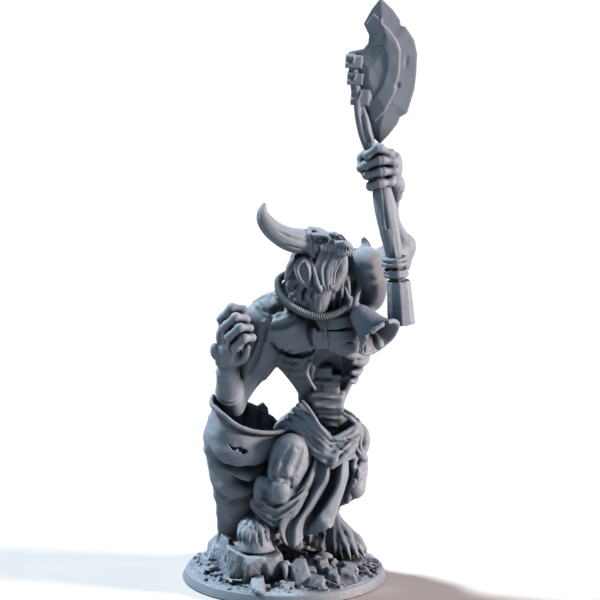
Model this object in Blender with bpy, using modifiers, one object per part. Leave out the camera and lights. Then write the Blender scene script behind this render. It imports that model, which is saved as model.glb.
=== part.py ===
"""A minotaur miniature cast in grey resin, and the round rubble base that it stands on.

The undead bull-man stands with one hoof up on a rock, throws his head back and lifts a great axe.
Two solids are made: the figure, cast as one with its clothing, bell and axe, and the base under it.
The frame is metres, +Z up, with its origin at the middle of the base's underside. -Y is the front.
Run with: blender --background --python part.py
"""

import math
import random

import bmesh
import bpy
from mathutils import Euler, Matrix, Vector

# Driving dimensions, in metres.
BASE_DIAMETER = 0.050
BASE_HEIGHT = 0.0024
BASE_BEVEL = 0.001
FIGURE_HEIGHT = 0.140  # from the top of the base to the tip of the axe
FIT_GAP = 0.0003  # between a sole and the stone under it
CLOTH_THICKNESS = 0.0012
BELL_WALL = 0.0009
BLADE_EDGE = 0.0008  # thickness of the axe's cutting edge
BLADE_STEP = 0.0007  # what each inner plate of the blade adds to its thickness
ROPE_DIAMETER = 0.0017
STONE_SINK = 0.0006  # how deep loose stones sit in the base

# How finely the clay is cut, and how many triangles are left of it.
VOXEL = 0.00042
SMOOTHING_STEPS = 2
FIGURE_TRIANGLES = 7350

RESIN_COLOUR = (0.20, 0.235, 0.275, 1.0)
RESIN_ROUGHNESS = 0.5

# The figure is laid out in units of a 140th of its height, about a millimetre, over the base's top.
UNITS_TALL = 140.0
UNIT = FIGURE_HEIGHT / UNITS_TALL

# Joints and landmarks of the pose, in figure units: x to the figure's left, y back, z up.
PELVIS = (9.9, 1.2, 34.0)
WAIST = (11.0, 1.2, 41.5)
RIBS = (9.1, 0.5, 55.5)
CHEST = (7.6, -0.5, 63.5)
NECK = (6.8, -3.0, 70.0)
SKULL = (7.6, -5.5, 82.4)
SNOUT = (14.6, -10.3, 82.2)
SHOULDER_R = (-4.8, -3.0, 62.0)
ELBOW_R = (-12.3, -1.0, 41.0)
WRIST_R = (-13.6, -8.6, 51.6)
SHOULDER_L = (20.6, 2.4, 70.4)
ELBOW_L = (30.1, 12.6, 77.6)
WRIST_L = (26.8, 3.4, 92.0)
HIP_R = (5.3, -1.0, 33.3)
KNEE_R = (-1.1, -12.4, 23.6)
HOCK_R = (-5.6, -4.6, 14.6)
FETLOCK_R = (-7.2, -8.6, 12.4)
SOLE_R = (-6.8, -10.4, 7.6)
HIP_L = (14.1, 3.0, 32.0)
KNEE_L = (17.0, -2.6, 20.8)
HOCK_L = (11.8, 3.4, 14.4)
SOLE_L = (14.7, 0.2, 2.4)
GRIP = (22.9, -2.5, 99.3)

# Sizes in figure units.
HOOF_RADIUS = 4.2
HOOF_HEIGHT = 3.4
FEATHER_RADIUS = 4.7
BELL_MOUTH_RADIUS = 5.9
BELL_LENGTH = 9.8
FINGER_RADIUS = 1.3


def at(point):
    """A point given in figure units, in metres over the base's top."""
    return Vector(point) * UNIT + Vector((0, 0, BASE_HEIGHT))


def clear_scene():
    for obj in list(bpy.data.objects):
        bpy.data.objects.remove(obj, do_unlink=True)


def new_collection(name):
    collection = bpy.data.collections.new(name)
    bpy.context.scene.collection.children.link(collection)
    return collection


def resin():
    material = bpy.data.materials.new("grey_resin")
    material.use_nodes = True
    shader = material.node_tree.nodes["Principled BSDF"]
    shader.inputs["Base Color"].default_value = RESIN_COLOUR
    shader.inputs["Roughness"].default_value = RESIN_ROUGHNESS
    shader.inputs["Metallic"].default_value = 0.0
    material.diffuse_color = RESIN_COLOUR
    return material


def link_object(name, mesh, collection):
    obj = bpy.data.objects.new(name, mesh)
    collection.objects.link(obj)
    return obj


def evaluated_mesh(obj):
    """The mesh of an object with its modifiers, in world space."""
    bpy.context.view_layer.update()
    graph = bpy.context.evaluated_depsgraph_get()
    mesh = bpy.data.meshes.new_from_object(obj.evaluated_get(graph))
    mesh.transform(obj.matrix_world)
    return mesh


def hide_helper(obj):
    obj.hide_render = True
    obj.display_type = "WIRE"


class Clay:
    """Lumps that are pressed together into one solid."""

    def __init__(self):
        self.lumps = bmesh.new()

    def press(self, lump):
        """Adds the faces of a bmesh."""
        mesh = bpy.data.meshes.new("lump")
        lump.to_mesh(mesh)
        lump.free()
        self.lumps.from_mesh(mesh)
        bpy.data.meshes.remove(mesh)

    def press_mesh(self, mesh):
        self.lumps.from_mesh(mesh)
        bpy.data.meshes.remove(mesh)

    def ball(self, centre, radii, turn=(0, 0, 0)):
        """An ellipsoid. The turn is in degrees about x, y and z."""
        lump = bmesh.new()
        size = Matrix.Diagonal((*(Vector(radii) * UNIT), 1))
        spin = Euler([math.radians(a) for a in turn]).to_matrix().to_4x4()
        place = Matrix.Translation(at(centre)) @ spin @ size
        bmesh.ops.create_icosphere(lump, subdivisions=3, radius=1, matrix=place)
        self.press(lump)

    def limb(self, *stations):
        """A rounded, tapering run through stations of (x, y, z, radius)."""
        for a, b in zip(stations, stations[1:]):
            lump = bmesh.new()
            for *centre, radius in (a, b):
                place = Matrix.Translation(at(centre))
                bmesh.ops.create_icosphere(lump, subdivisions=2, radius=radius * UNIT, matrix=place)
            hull = bmesh.ops.convex_hull(lump, input=lump.verts)
            inside = {v for v in hull["geom_interior"] if isinstance(v, bmesh.types.BMVert)}
            bmesh.ops.delete(lump, geom=list(inside), context="VERTS")
            self.press(lump)

    def block(self, corners):
        """The convex hull of some corners."""
        lump = bmesh.new()
        for corner in corners:
            lump.verts.new(at(corner))
        bmesh.ops.convex_hull(lump, input=lump.verts)
        self.press(lump)

    def post(self, low, low_radius, top, top_radius, sides=20):
        """A straight post with flat ends."""
        a, b = at(low), at(top)
        turn = (b - a).to_track_quat("Z", "Y")
        lump = bmesh.new()
        for end, radius in ((a, low_radius), (b, top_radius)):
            for i in range(sides):
                angle = 2 * math.pi * i / sides
                out = Vector((math.cos(angle), math.sin(angle), 0)) * radius * UNIT
                lump.verts.new(end + turn @ out)
        bmesh.ops.convex_hull(lump, input=lump.verts)
        self.press(lump)

    def solid(self, name, collection):
        mesh = bpy.data.meshes.new(name)
        bmesh.ops.recalc_face_normals(self.lumps, faces=self.lumps.faces)
        self.lumps.to_mesh(mesh)
        self.lumps.free()
        return link_object(name, mesh, collection)


def with_radius(point, radius):
    return (*point, radius)


def between(a, b, share):
    """A point that lies some share of the way from a to b."""
    return tuple(p + (q - p) * share for p, q in zip(a, b))


def smooth_row(row, steps):
    """Points along a Catmull-Rom curve through a row of points."""
    ends = [row[0], *row, row[-1]]
    made = []
    for i in range(len(row) - 1):
        p0, p1, p2, p3 = (Vector(p) for p in ends[i : i + 4])
        for step in range(steps):
            t = step / steps
            made.append(
                0.5
                * (
                    2 * p1
                    + (p2 - p0) * t
                    + (2 * p0 - 5 * p1 + 4 * p2 - p3) * t**2
                    + (3 * p1 - p0 - 3 * p2 + p3) * t**3
                )
            )
    made.append(Vector(row[-1]))
    return made


def crease(distance, width):
    """The height of a soft ridge at some distance from its crest."""
    return math.exp(-((distance / width) ** 2))


def cloth(clay, columns, collection, fold=None, thickness=CLOTH_THICKNESS, steps=5):
    """Presses a cloth into the clay: a smooth surface through columns of points, folded and made thick.

    fold(u, v) is how far the cloth stands out, in figure units: u counts columns, v runs from 0 at the top to 1.
    """
    tall = [smooth_row(column, steps) for column in columns]
    rows = [smooth_row([column[i] for column in tall], steps) for i in range(len(tall[0]))]
    surface = bmesh.new()
    grid = []
    for j, row in enumerate(rows):
        line = []
        for i, point in enumerate(row):
            along = row[min(i + 1, len(row) - 1)] - row[max(i - 1, 0)]
            down = rows[min(j + 1, len(rows) - 1)][i] - rows[max(j - 1, 0)][i]
            out = along.cross(down).normalized()
            rise = fold(i / steps, j / (len(rows) - 1)) if fold else 0
            line.append(surface.verts.new(at(point + out * rise)))
        grid.append(line)
    for upper, lower in zip(grid, grid[1:]):
        for i in range(len(upper) - 1):
            surface.faces.new((upper[i], upper[i + 1], lower[i + 1], lower[i]))
    mesh = bpy.data.meshes.new("cloth")
    surface.to_mesh(mesh)
    surface.free()
    obj = link_object("cloth", mesh, collection)
    wall = obj.modifiers.new("wall", "SOLIDIFY")
    wall.thickness = thickness
    wall.offset = 0
    clay.press_mesh(evaluated_mesh(obj))
    bpy.data.objects.remove(obj)


def torso(clay):
    clay.ball(RIBS, (10.0, 7.4, 9.6))
    clay.ball(CHEST, (11.6, 6.8, 6.6))
    # The breasts: broad on the figure's right, where the shoulder hangs forward.
    clay.ball((3.8, -5.6, 60.8), (6.8, 3.9, 5.0), (0, 0, 12))
    clay.limb((-3.4, -4.6, 61.4, 4.2), (3.4, -6.4, 58.8, 3.2), (8.4, -7.4, 59.0, 2.2))
    clay.ball((14.6, -4.8, 61.8), (5.6, 3.9, 4.8), (0, 0, -12))
    clay.ball(PELVIS, (7.0, 5.8, 5.0))
    # The flanks, and the muscles of the back on both sides of the spine.
    clay.limb((-0.4, 0.5, 56.0, 3.4), (3.5, 0.4, 49.0, 2.6), (7.2, 1.2, 43.0, 2.8), (6.8, 1.5, 37.4, 3.6))
    clay.limb((17.4, 2.5, 57.0, 3.0), (15.6, 2.5, 49.4, 2.2), (12.2, 2.6, 42.8, 2.0))
    for i in range(3):
        drop = 2.9 * i
        clay.limb(
            (-0.2 + 1.4 * i, -2.6, 55.0 - drop, 1.2),
            (2.6 + 1.1 * i, -5.2 + 0.7 * i, 53.4 - drop, 1.0),
            (5.8 + 0.7 * i, -6.4 + 0.9 * i, 52.2 - drop, 0.6),
        )
    for side in (-1, 1):
        clay.limb(
            (9.0 + 3.2 * side, 5.2, 63.0, 3.0),
            (9.8 + 2.4 * side, 5.0, 52.0, 2.7),
            (10.2 + 1.6 * side, 3.4, 43.0, 1.9),
            (10.2 + 2.4 * side, 4.0, 36.0, 2.6),
        )
        clay.ball((8.6 + 6.6 * side, 5.0, 63.5), (4.6, 3.0, 5.2), (0, 12 * side, 0))
    # The slope from the neck down to both shoulders.
    clay.limb((6.0, 1.0, 70.0, 5.0), (0.0, -1.0, 66.5, 3.8), with_radius(SHOULDER_R, 4.4))
    clay.limb((8.0, 1.0, 70.0, 5.0), (14.5, 1.5, 69.5, 4.6), with_radius(SHOULDER_L, 4.0))


def hollow_belly(solid, collection):
    """Cuts the torn belly out of the torso."""
    cutter = bmesh.new()
    size = Matrix.Diagonal((*(Vector((5.0, 5.6, 6.4)) * UNIT), 1))
    place = Matrix.Translation(at((12.0, -5.2, 47.0))) @ size
    bmesh.ops.create_icosphere(cutter, subdivisions=3, radius=1, matrix=place)
    mesh = bpy.data.meshes.new("belly")
    cutter.to_mesh(mesh)
    cutter.free()
    belly = link_object("belly_cutter", mesh, collection)
    hide_helper(belly)
    cut = solid.modifiers.new("belly", "BOOLEAN")
    cut.operation = "DIFFERENCE"
    cut.object = belly


def spine_and_ribs(clay):
    """The backbone seen in the open belly, with the lowest ribs at the figure's left."""
    joints = ((9.9, 49.6, 1.9), (10.6, 46.0, 2.3), (10.6, 42.7, 3.2), (10.8, 39.7, 3.1), (11.2, 36.6, 2.5), (11.8, 33.8, 1.8))
    for (x, z, radius), (next_x, next_z, _) in zip(joints, joints[1:]):
        clay.limb((x, -0.6, z, radius), ((x + next_x) / 2, 0.4, (z + next_z) / 2, radius * 0.72))
    for i in range(4):
        drop = 2.6 * i
        inward = 0.7 * i + 0.12 * i**2
        clay.limb(
            (15.2 - inward, -5.6, 54.4 - drop, 0.9),
            (19.2 - inward, -2.2, 53.2 - drop, 1.15),
            (19.2 - inward, 2.6, 54.0 - drop, 1.15),
            (14.2 - inward, 5.4, 55.6 - drop, 1.1),
        )


def bandages(clay):
    """Three wraps across the figure's left breast, and the strap that ties them."""
    clay.limb((8.8, -9.2, 63.6, 0.9), (14.0, -9.0, 63.8, 1.2), (19.6, -4.6, 64.4, 1.2))
    clay.limb((9.2, -9.3, 61.0, 0.9), (14.4, -9.1, 60.6, 1.2), (19.8, -4.4, 60.0, 1.2))
    clay.limb((10.0, -9.0, 58.8, 0.9), (14.8, -8.4, 57.4, 1.2), (19.6, -3.8, 55.6, 1.2))
    clay.limb((8.8, -9.4, 64.8, 1.0), (8.8, -9.6, 60.4, 1.3), (9.6, -9.0, 58.4, 1.2))


def right_arm(clay):
    """The lowered arm, its fist turned up in front of the shoulder."""
    clay.ball(SHOULDER_R, (5.4, 5.2, 5.6), (0, 20, 0))
    clay.limb(
        (-5.0, -2.6, 61.0, 4.9), (-6.2, -1.2, 54.4, 5.1), (-8.8, -0.4, 47.8, 4.0), with_radius(ELBOW_R, 2.6)
    )
    clay.limb(with_radius(ELBOW_R, 2.8), (-13.0, -4.4, 45.4, 3.2), with_radius(WRIST_R, 2.4))
    # The bracer round the forearm, with its thick rims.
    clay.limb((-13.2, -4.6, 45.4, 3.4), (-13.5, -8.0, 50.4, 3.0))
    clay.ball((-13.2, -4.0, 44.8), (3.4, 3.3, 1.0), (30, 0, 0))
    clay.ball((-13.5, -8.4, 51.0), (3.2, 3.0, 0.8), (30, 0, 0))
    # The back of the hand, the bone that stands out at the wrist, and the fingers closed over the palm.
    clay.ball((-12.9, -9.8, 56.4), (3.2, 2.1, 4.6), (-10, 10, 0))
    clay.ball((-15.5, -9.0, 56.0), (1.5, 1.5, 2.3))
    fingers = (
        ((-14.8, -9.0, 63.6), (-13.3, -9.6, 66.4), (-11.2, -8.8, 66.0)),
        ((-14.2, -11.0, 62.4), (-11.9, -12.0, 65.5), (-9.7, -10.6, 64.8)),
        ((-12.9, -12.2, 60.4), (-10.5, -13.4, 63.3), (-8.8, -11.8, 62.9)),
        ((-11.2, -12.8, 58.0), (-9.3, -14.0, 60.6), (-7.7, -12.4, 60.4)),
    )
    for knuckle, joint, tip in fingers:
        clay.limb(with_radius(between(WRIST_R, knuckle, 0.25), 1.2), with_radius(knuckle, 1.35))
        clay.limb(with_radius(knuckle, 1.1), with_radius(joint, FINGER_RADIUS), with_radius(tip, 1.1))
        clay.limb(with_radius(tip, 1.1), with_radius(between(tip, (-9.6, -9.4, 59.4), 0.6), 1.0))
    clay.ball((-10.6, -9.8, 60.4), (2.4, 1.8, 3.6), (0, 25, 0))
    clay.limb((-12.0, -9.0, 54.4, 1.4), (-9.0, -11.0, 55.4, 1.1), (-8.4, -12.2, 58.4, 0.8))


def left_arm(clay):
    """The raised arm, bent back at the elbow, with the axe in its fist."""
    clay.ball(SHOULDER_L, (4.6, 5.2, 7.0), (0, -8, 0))
    clay.ball((18.6, 3.2, 73.4), (4.9, 4.6, 5.8), (0, 20, 0))
    clay.limb((21.0, 3.6, 73.2, 4.3), (25.4, 8.2, 75.4, 3.6), with_radius(ELBOW_L, 2.5))
    clay.ball(ELBOW_L, (2.3, 2.6, 3.2), (0, -10, 0))
    clay.limb(with_radius(ELBOW_L, 2.2), (26.3, 8.0, 85.2, 1.9), with_radius(WRIST_L, 1.7))
    # The muscle under the raised arm.
    clay.limb((18.6, 4.0, 66.0, 3.5), (17.4, 3.6, 59.0, 3.2))
    clay.ball((26.0, 0.0, 98.2), (2.2, 2.8, 4.8), (0, 6, 0))
    clay.limb(with_radius(WRIST_L, 1.8), (26.6, 1.0, 96.0, 2.2))
    rows = (
        ((19.8, 102.6), (23.3, 104.4), (25.8, 102.9)),
        ((19.2, 100.4), (23.2, 101.8), (26.4, 101.5)),
        ((19.6, 98.4), (23.3, 99.3), (26.8, 99.2)),
        ((20.5, 95.9), (22.6, 96.4), (25.9, 96.4)),
    )
    for (tip_x, tip_z), (joint_x, joint_z), (knuckle_x, knuckle_z) in rows:
        knuckle = (knuckle_x, -4.6, knuckle_z)
        joint = (joint_x, -6.0, joint_z)
        clay.limb((knuckle_x + 0.3, 0.2, knuckle_z - 0.4, 1.15), with_radius(knuckle, FINGER_RADIUS))
        clay.limb(with_radius(knuckle, FINGER_RADIUS), with_radius(joint, FINGER_RADIUS * 1.08))
        clay.limb(
            with_radius(joint, FINGER_RADIUS),
            (tip_x, -4.2, tip_z, FINGER_RADIUS),
            (tip_x + 0.6, -1.6, tip_z - 0.4, 1.0),
        )
    clay.limb((24.4, 0.4, 102.0, 1.3), (20.4, -0.6, 102.2, 1.3), (18.2, -2.4, 100.8, 1.3))
    clay.limb((18.6, -2.0, 100.6, 1.2), (19.4, -2.4, 97.8, 1.1))


def lock(clay, root, tip, radius, bow=(0, -0.6, 0)):
    """A lock of hair that bows out between its root and its thin tip."""
    middle = tuple(p + q for p, q in zip(between(root, tip, 0.5), bow))
    clay.limb(with_radius(root, radius * 0.8), with_radius(middle, radius), with_radius(tip, radius * 0.3))


def head(clay):
    """The bull's skull thrown back, its jaw wide open and the cheek torn into strands."""
    clay.limb(with_radius(NECK, 6.2), (7.2, -3.4, 75.6, 5.2), with_radius(SKULL, 4.0))
    clay.ball(SKULL, (4.3, 3.8, 3.5), (0, 0, -32))
    clay.limb(with_radius(SKULL, 3.3), (11.6, -8.2, 82.5, 2.8), with_radius(SNOUT, 2.3))
    clay.ball((9.2, -9.0, 84.1), (2.4, 1.4, 0.9), (0, 10, -30))
    clay.ball((7.6, -9.0, 79.8), (1.5, 1.2, 2.4), (0, 20, 0))
    clay.limb((16.0, -11.0, 80.6, 1.3), (14.4, -11.6, 80.0, 1.1))
    clay.limb((11.6, -10.6, 80.4, 1.0), (9.8, -10.6, 80.0, 1.0))
    # The near horn sweeps out and up, and the far one shows past the snout.
    clay.limb(
        (5.4, -7.4, 82.6, 3.1), (1.4, -9.4, 83.7, 3.0), (-2.0, -11.0, 85.8, 2.5),
        (-4.4, -11.6, 88.2, 2.0), (-5.3, -11.6, 90.3, 1.4), (-5.0, -11.0, 92.4, 0.5),
    )
    clay.limb(
        (9.6, -1.6, 80.4, 2.6), (13.4, 2.2, 77.4, 2.3), (16.8, 5.6, 75.6, 1.8),
        (19.2, 8.4, 75.8, 1.6), (19.8, 9.8, 77.8, 1.2), (19.0, 10.2, 80.2, 0.5),
    )
    # The open jaw and the strands of cheek between it and the snout.
    clay.limb((5.2, -8.8, 78.4, 1.5), (7.4, -11.0, 74.4, 1.5), (9.6, -12.2, 71.8, 1.4), (12.4, -11.6, 72.2, 1.0))
    for i in range(6):
        share = i / 5
        top = between((9.2, -10.6, 80.4), (14.0, -10.0, 80.2), share)
        low = between((8.4, -11.8, 72.4), (12.2, -11.2, 72.4), share)
        clay.limb(with_radius(top, 0.9), with_radius(low, 0.9))
    # The ear and the two swept rows of the mane.
    clay.ball((5.4, -10.2, 76.0), (1.6, 1.2, 3.6), (0, -14, 0))
    clay.ball((2.4, -7.4, 76.4), (1.5, 1.4, 3.0), (0, 16, 0))
    for i in range(7):
        share = i / 6
        root = between((3.6, -6.0, 80.0), (6.4, 1.4, 79.4), share)
        tip = between((1.4, -6.8, 72.2), (7.0, 3.6, 71.6), share)
        lock(clay, root, tip, 1.6, (-0.4 + 0.4 * share, 0.6, 0))
    for i in range(4):
        root = between((2.4, -8.4, 76.4), (7.0, -9.2, 74.2), i / 3)
        tip = between((1.4, -9.0, 69.4), (8.4, -10.2, 68.4), i / 3)
        lock(clay, root, tip, 1.2)
    # The shadowed throat between the jaw and the raised shoulder.
    clay.limb((12.0, -4.0, 78.0, 3.0), (13.6, -3.0, 70.0, 3.6))


def rope(clay):
    """The rope round the neck, with the knot that carries the bell."""
    loop = (
        (-1.2, -4.2, 71.0), (-0.5, -7.4, 69.4), (1.7, -9.4, 67.8), (4.8, -10.6, 66.3), (8.3, -11.0, 65.7),
        (11.6, -10.6, 66.2), (14.4, -9.4, 67.2), (17.0, -7.2, 68.6), (17.0, -1.6, 71.6), (13.6, 3.8, 73.6),
        (7.6, 5.8, 74.4), (2.2, 3.8, 73.0), (-0.6, -0.4, 72.0), (-1.2, -4.2, 71.0),
    )
    radius = ROPE_DIAMETER / 2 / UNIT
    clay.limb(*(with_radius(point, radius) for point in loop))
    clay.ball((16.8, -8.6, 68.2), (1.9, 1.7, 1.7))
    clay.limb((17.2, -8.8, 68.8, 0.8), (18.0, -8.0, 71.2, 0.3))


def bell(clay, collection):
    """The cracked cow bell: a turned wall, open at its mouth, with the clapper inside."""
    top = Vector(at((17.6, -9.3, 67.0)))
    mouth = Vector(at((23.0, -12.2, 59.2)))
    # Outer profile from the crown down, as shares of the length and of the mouth's radius.
    profile = ((0.0, 0.0), (0.30, 0.0), (0.42, 0.05), (0.52, 0.2), (0.62, 0.45), (0.74, 0.72), (1.0, 1.0))
    curve = bmesh.new()
    points = [
        curve.verts.new((r * BELL_MOUTH_RADIUS * UNIT, 0, -share * BELL_LENGTH * UNIT)) for r, share in profile
    ]
    for a, b in zip(points, points[1:]):
        curve.edges.new((a, b))
    mesh = bpy.data.meshes.new("bell")
    curve.to_mesh(mesh)
    curve.free()
    obj = link_object("bell", mesh, collection)
    turn = obj.modifiers.new("turn", "SCREW")
    turn.steps = turn.render_steps = 24
    turn.use_merge_vertices = True
    turn.merge_threshold = 0.0001
    wall = obj.modifiers.new("wall", "SOLIDIFY")
    wall.thickness = BELL_WALL
    wall.offset = -1
    axis = (mouth - top).normalized()
    obj.matrix_world = Matrix.Translation(top) @ (-axis).to_track_quat("Z", "Y").to_matrix().to_4x4()
    clay.press_mesh(evaluated_mesh(obj))
    bpy.data.objects.remove(obj)
    clay.limb((17.4, -9.3, 67.2, 1.4), (18.2, -9.7, 65.6, 1.6))
    clay.limb((18.6, -10.0, 65.0, 0.8), (21.6, -11.5, 61.2, 0.8), (22.0, -12.0, 60.2, 1.3))


def axe(clay):
    """The axe's handle: a grown branch with rings and a ferrule, split in two above the fist."""
    clay.limb(
        (28.0, -6.0, 64.6, 2.0), (26.9, -5.6, 74.0, 2.1), (26.2, -5.0, 79.0, 2.1), (25.1, -4.4, 85.0, 2.5),
        (24.0, -3.6, 91.0, 2.6), (22.6, -2.6, 98.0, 1.9), (20.6, -1.6, 105.0, 1.25),
    )
    for side in (-1, 1):
        clay.limb(
            (20.5 + 0.4 * side, -1.6, 104.6, 1.0), (18.5 + 0.6 * side, -0.8, 111.5, 1.0),
            (17.6 - 0.2 * side, 0.0, 117.0, 1.0), (16.4, 0.4, 125.6, 1.2),
        )
    clay.post((28.1, -6.1, 62.6), 3.05, (27.3, -5.7, 72.6), 2.8)
    clay.ball((26.4, -5.1, 77.6), (2.9, 2.9, 1.1), (0, 4, 0))
    clay.ball((26.6, -5.2, 75.4), (2.6, 2.6, 0.9), (0, 4, 0))


def axe_blade(collection):
    """The blade's three plates, one on the other, and the three riveted lugs that hold it."""
    lug_width = 3.9
    for i, (x, z, height) in enumerate(((18.1, 116.4, 4.2), (16.8, 120.8, 3.4), (16.2, 125.0, 3.6))):
        lug = Clay()
        lug.block([
            (x + a * lug_width / 2, 0.2 + b * 2.1, z + c * height / 2 - 0.3 * a)
            for a in (-1, 1) for b in (-1, 1) for c in (-1, 1)
        ])
        hide_helper(lug.solid(f"lug_{i}", collection))
        for side in (-1, 1):
            rivet = Clay()
            rivet.block([
                (x - 0.8, 0.2 + 3.1 * side, z), (x - 1.8, 0.2 + 1.9 * side, z - 0.9), (x - 1.8, 0.2 + 1.9 * side, z + 0.9),
                (x + 0.2, 0.2 + 1.9 * side, z - 0.9), (x + 0.2, 0.2 + 1.9 * side, z + 0.9),
            ])
            hide_helper(rivet.solid(f"rivet_{i}_{side + 1}", collection))
    outer = (
        (22.9, 140.1), (25.9, 137.2), (27.6, 134.7), (27.6, 133.4), (28.9, 133.2), (31.0, 130.0), (31.7, 126.8),
        (31.5, 121.9), (31.1, 118.3), (30.1, 114.8), (29.4, 112.5), (27.7, 111.5), (27.1, 109.9), (25.0, 107.2),
        (22.9, 105.0), (21.0, 106.8), (19.9, 109.0), (19.7, 113.0), (17.8, 115.0), (16.0, 120.0), (15.4, 127.2),
        (19.3, 127.6), (20.6, 129.2), (20.7, 131.2), (19.2, 133.8), (21.1, 137.0),
    )
    middle = (
        (21.2, 131.4), (20.0, 133.7), (21.7, 136.5), (23.4, 135.6), (26.4, 131.8), (28.0, 127.8), (27.9, 122.2),
        (26.4, 116.6), (24.0, 112.0), (21.8, 108.8), (20.4, 109.8), (20.1, 113.2), (18.2, 115.4), (16.5, 120.2),
        (15.9, 126.8), (19.6, 127.2), (21.0, 129.0),
    )
    inner = (
        (16.4, 126.3), (19.8, 126.7), (22.6, 129.6), (24.4, 127.2), (24.9, 123.4), (23.8, 119.2), (21.2, 115.4),
        (18.8, 115.8), (17.0, 120.4),
    )
    for i, (outline, bevel) in enumerate(((outer, 0.0007), (middle, 0.0006), (inner, 0.0004))):
        thick = BLADE_EDGE + 2 * BLADE_STEP * (i + 1) / 2
        thin = BLADE_EDGE + 2 * BLADE_STEP * i / 2
        plate = link_object(f"plate_{i}", flat_plate(outline, thick, thin, bevel, collection), collection)
        hide_helper(plate)


def flat_plate(outline, thickness, edge, bevel, collection):
    """An outline in figure units in the XZ plane, made into a plate that thins over the bevel to its edge."""
    squash = (thickness - edge) / (2 * bevel)
    curve = bpy.data.curves.new("plate", "CURVE")
    curve.dimensions = "2D"
    curve.fill_mode = "BOTH"
    curve.extrude = edge / 2 / squash
    curve.bevel_depth = bevel
    curve.bevel_resolution = 0
    curve.offset = -bevel
    spline = curve.splines.new("POLY")
    spline.points.add(len(outline) - 1)
    for point, (x, z) in zip(spline.points, outline):
        point.co = (x * UNIT, z * UNIT, 0, 1)
    spline.use_cyclic_u = True
    obj = link_object("plate_curve", curve, collection)
    stand = Matrix.Translation((0, 0.2 * UNIT, BASE_HEIGHT)) @ Matrix.Rotation(math.pi / 2, 4, "X")
    obj.matrix_world = stand @ Matrix.Diagonal((1, 1, squash, 1))
    mesh = evaluated_mesh(obj)
    bpy.data.objects.remove(obj)
    welded = bmesh.new()
    welded.from_mesh(mesh)
    bmesh.ops.remove_doubles(welded, verts=welded.verts, dist=1e-6)
    welded.to_mesh(mesh)
    welded.free()
    return mesh


def legs(clay):
    clay.limb(with_radius(HIP_R, 4.8), (2.4, -6.6, 29.8, 5.2), with_radius(KNEE_R, 3.2))
    clay.ball((-1.2, -13.6, 23.2), (2.8, 2.4, 2.9))
    clay.limb((-5.2, -9.6, 23.8, 1.9), (-5.2, -8.8, 20.8, 1.9))
    clay.limb(with_radius(KNEE_R, 3.0), (-3.4, -7.6, 18.0, 3.0), with_radius(HOCK_R, 2.2), with_radius(FETLOCK_R, 2.4))
    clay.limb(with_radius(HIP_L, 4.8), (16.4, -0.4, 26.6, 4.6), with_radius(KNEE_L, 2.8))
    clay.limb(with_radius(KNEE_L, 2.7), (15.0, 1.2, 17.6, 2.3), with_radius(HOCK_L, 1.8), (12.4, 2.2, 10.6, 2.0))
    hooves(clay)


def hooves(clay):
    """The raised right hoof under its tuft, and the long feather of hair that covers the left one."""
    x, y, z = SOLE_R
    sink = 0.9  # the sole is cut flat afterwards
    clay.limb((x, y, z + 1.2, HOOF_RADIUS * 0.72), (x, y + 0.6, z + HOOF_HEIGHT, HOOF_RADIUS * 0.62))
    rim = [
        (x + r * math.cos(a), y + r * math.sin(a), h)
        for r, h in ((HOOF_RADIUS, z - sink), (HOOF_RADIUS * 0.86, z + HOOF_HEIGHT * 0.8))
        for a in (2 * math.pi * i / 14 for i in range(14))
    ]
    clay.block(rim)
    tuft_locks = 13
    for i in range(tuft_locks):
        angle = 2 * math.pi * i / tuft_locks
        out = Vector((math.cos(angle), math.sin(angle), 0))
        root = Vector(FETLOCK_R) + out * 1.6 + Vector((0, 0, 1.6))
        tip = Vector((x, y, z + 2.2)) + out * (HOOF_RADIUS * 0.98)
        lock(clay, root, tip, 1.15, out * 1.0)
    x, y, z = SOLE_L
    feather_locks = 15
    for i in range(feather_locks):
        angle = 2 * math.pi * i / feather_locks
        out = Vector((math.cos(angle), math.sin(angle), 0))
        root = Vector((12.2, 2.4, 13.2)) + out * 1.3
        foot = Vector((x, y, z - sink)) + out * (FEATHER_RADIUS - 0.6)
        swell = Vector(between(root, foot, 0.8)) + out * 1.1
        clay.limb((*root, 0.8), (*swell, 1.15), (*foot, 1.0))
    clay.limb((12.4, 2.2, 11.4, 1.9), (13.8, 1.0, 7.0, 3.0), (14.6, 0.4, 3.4, 3.6))


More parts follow.
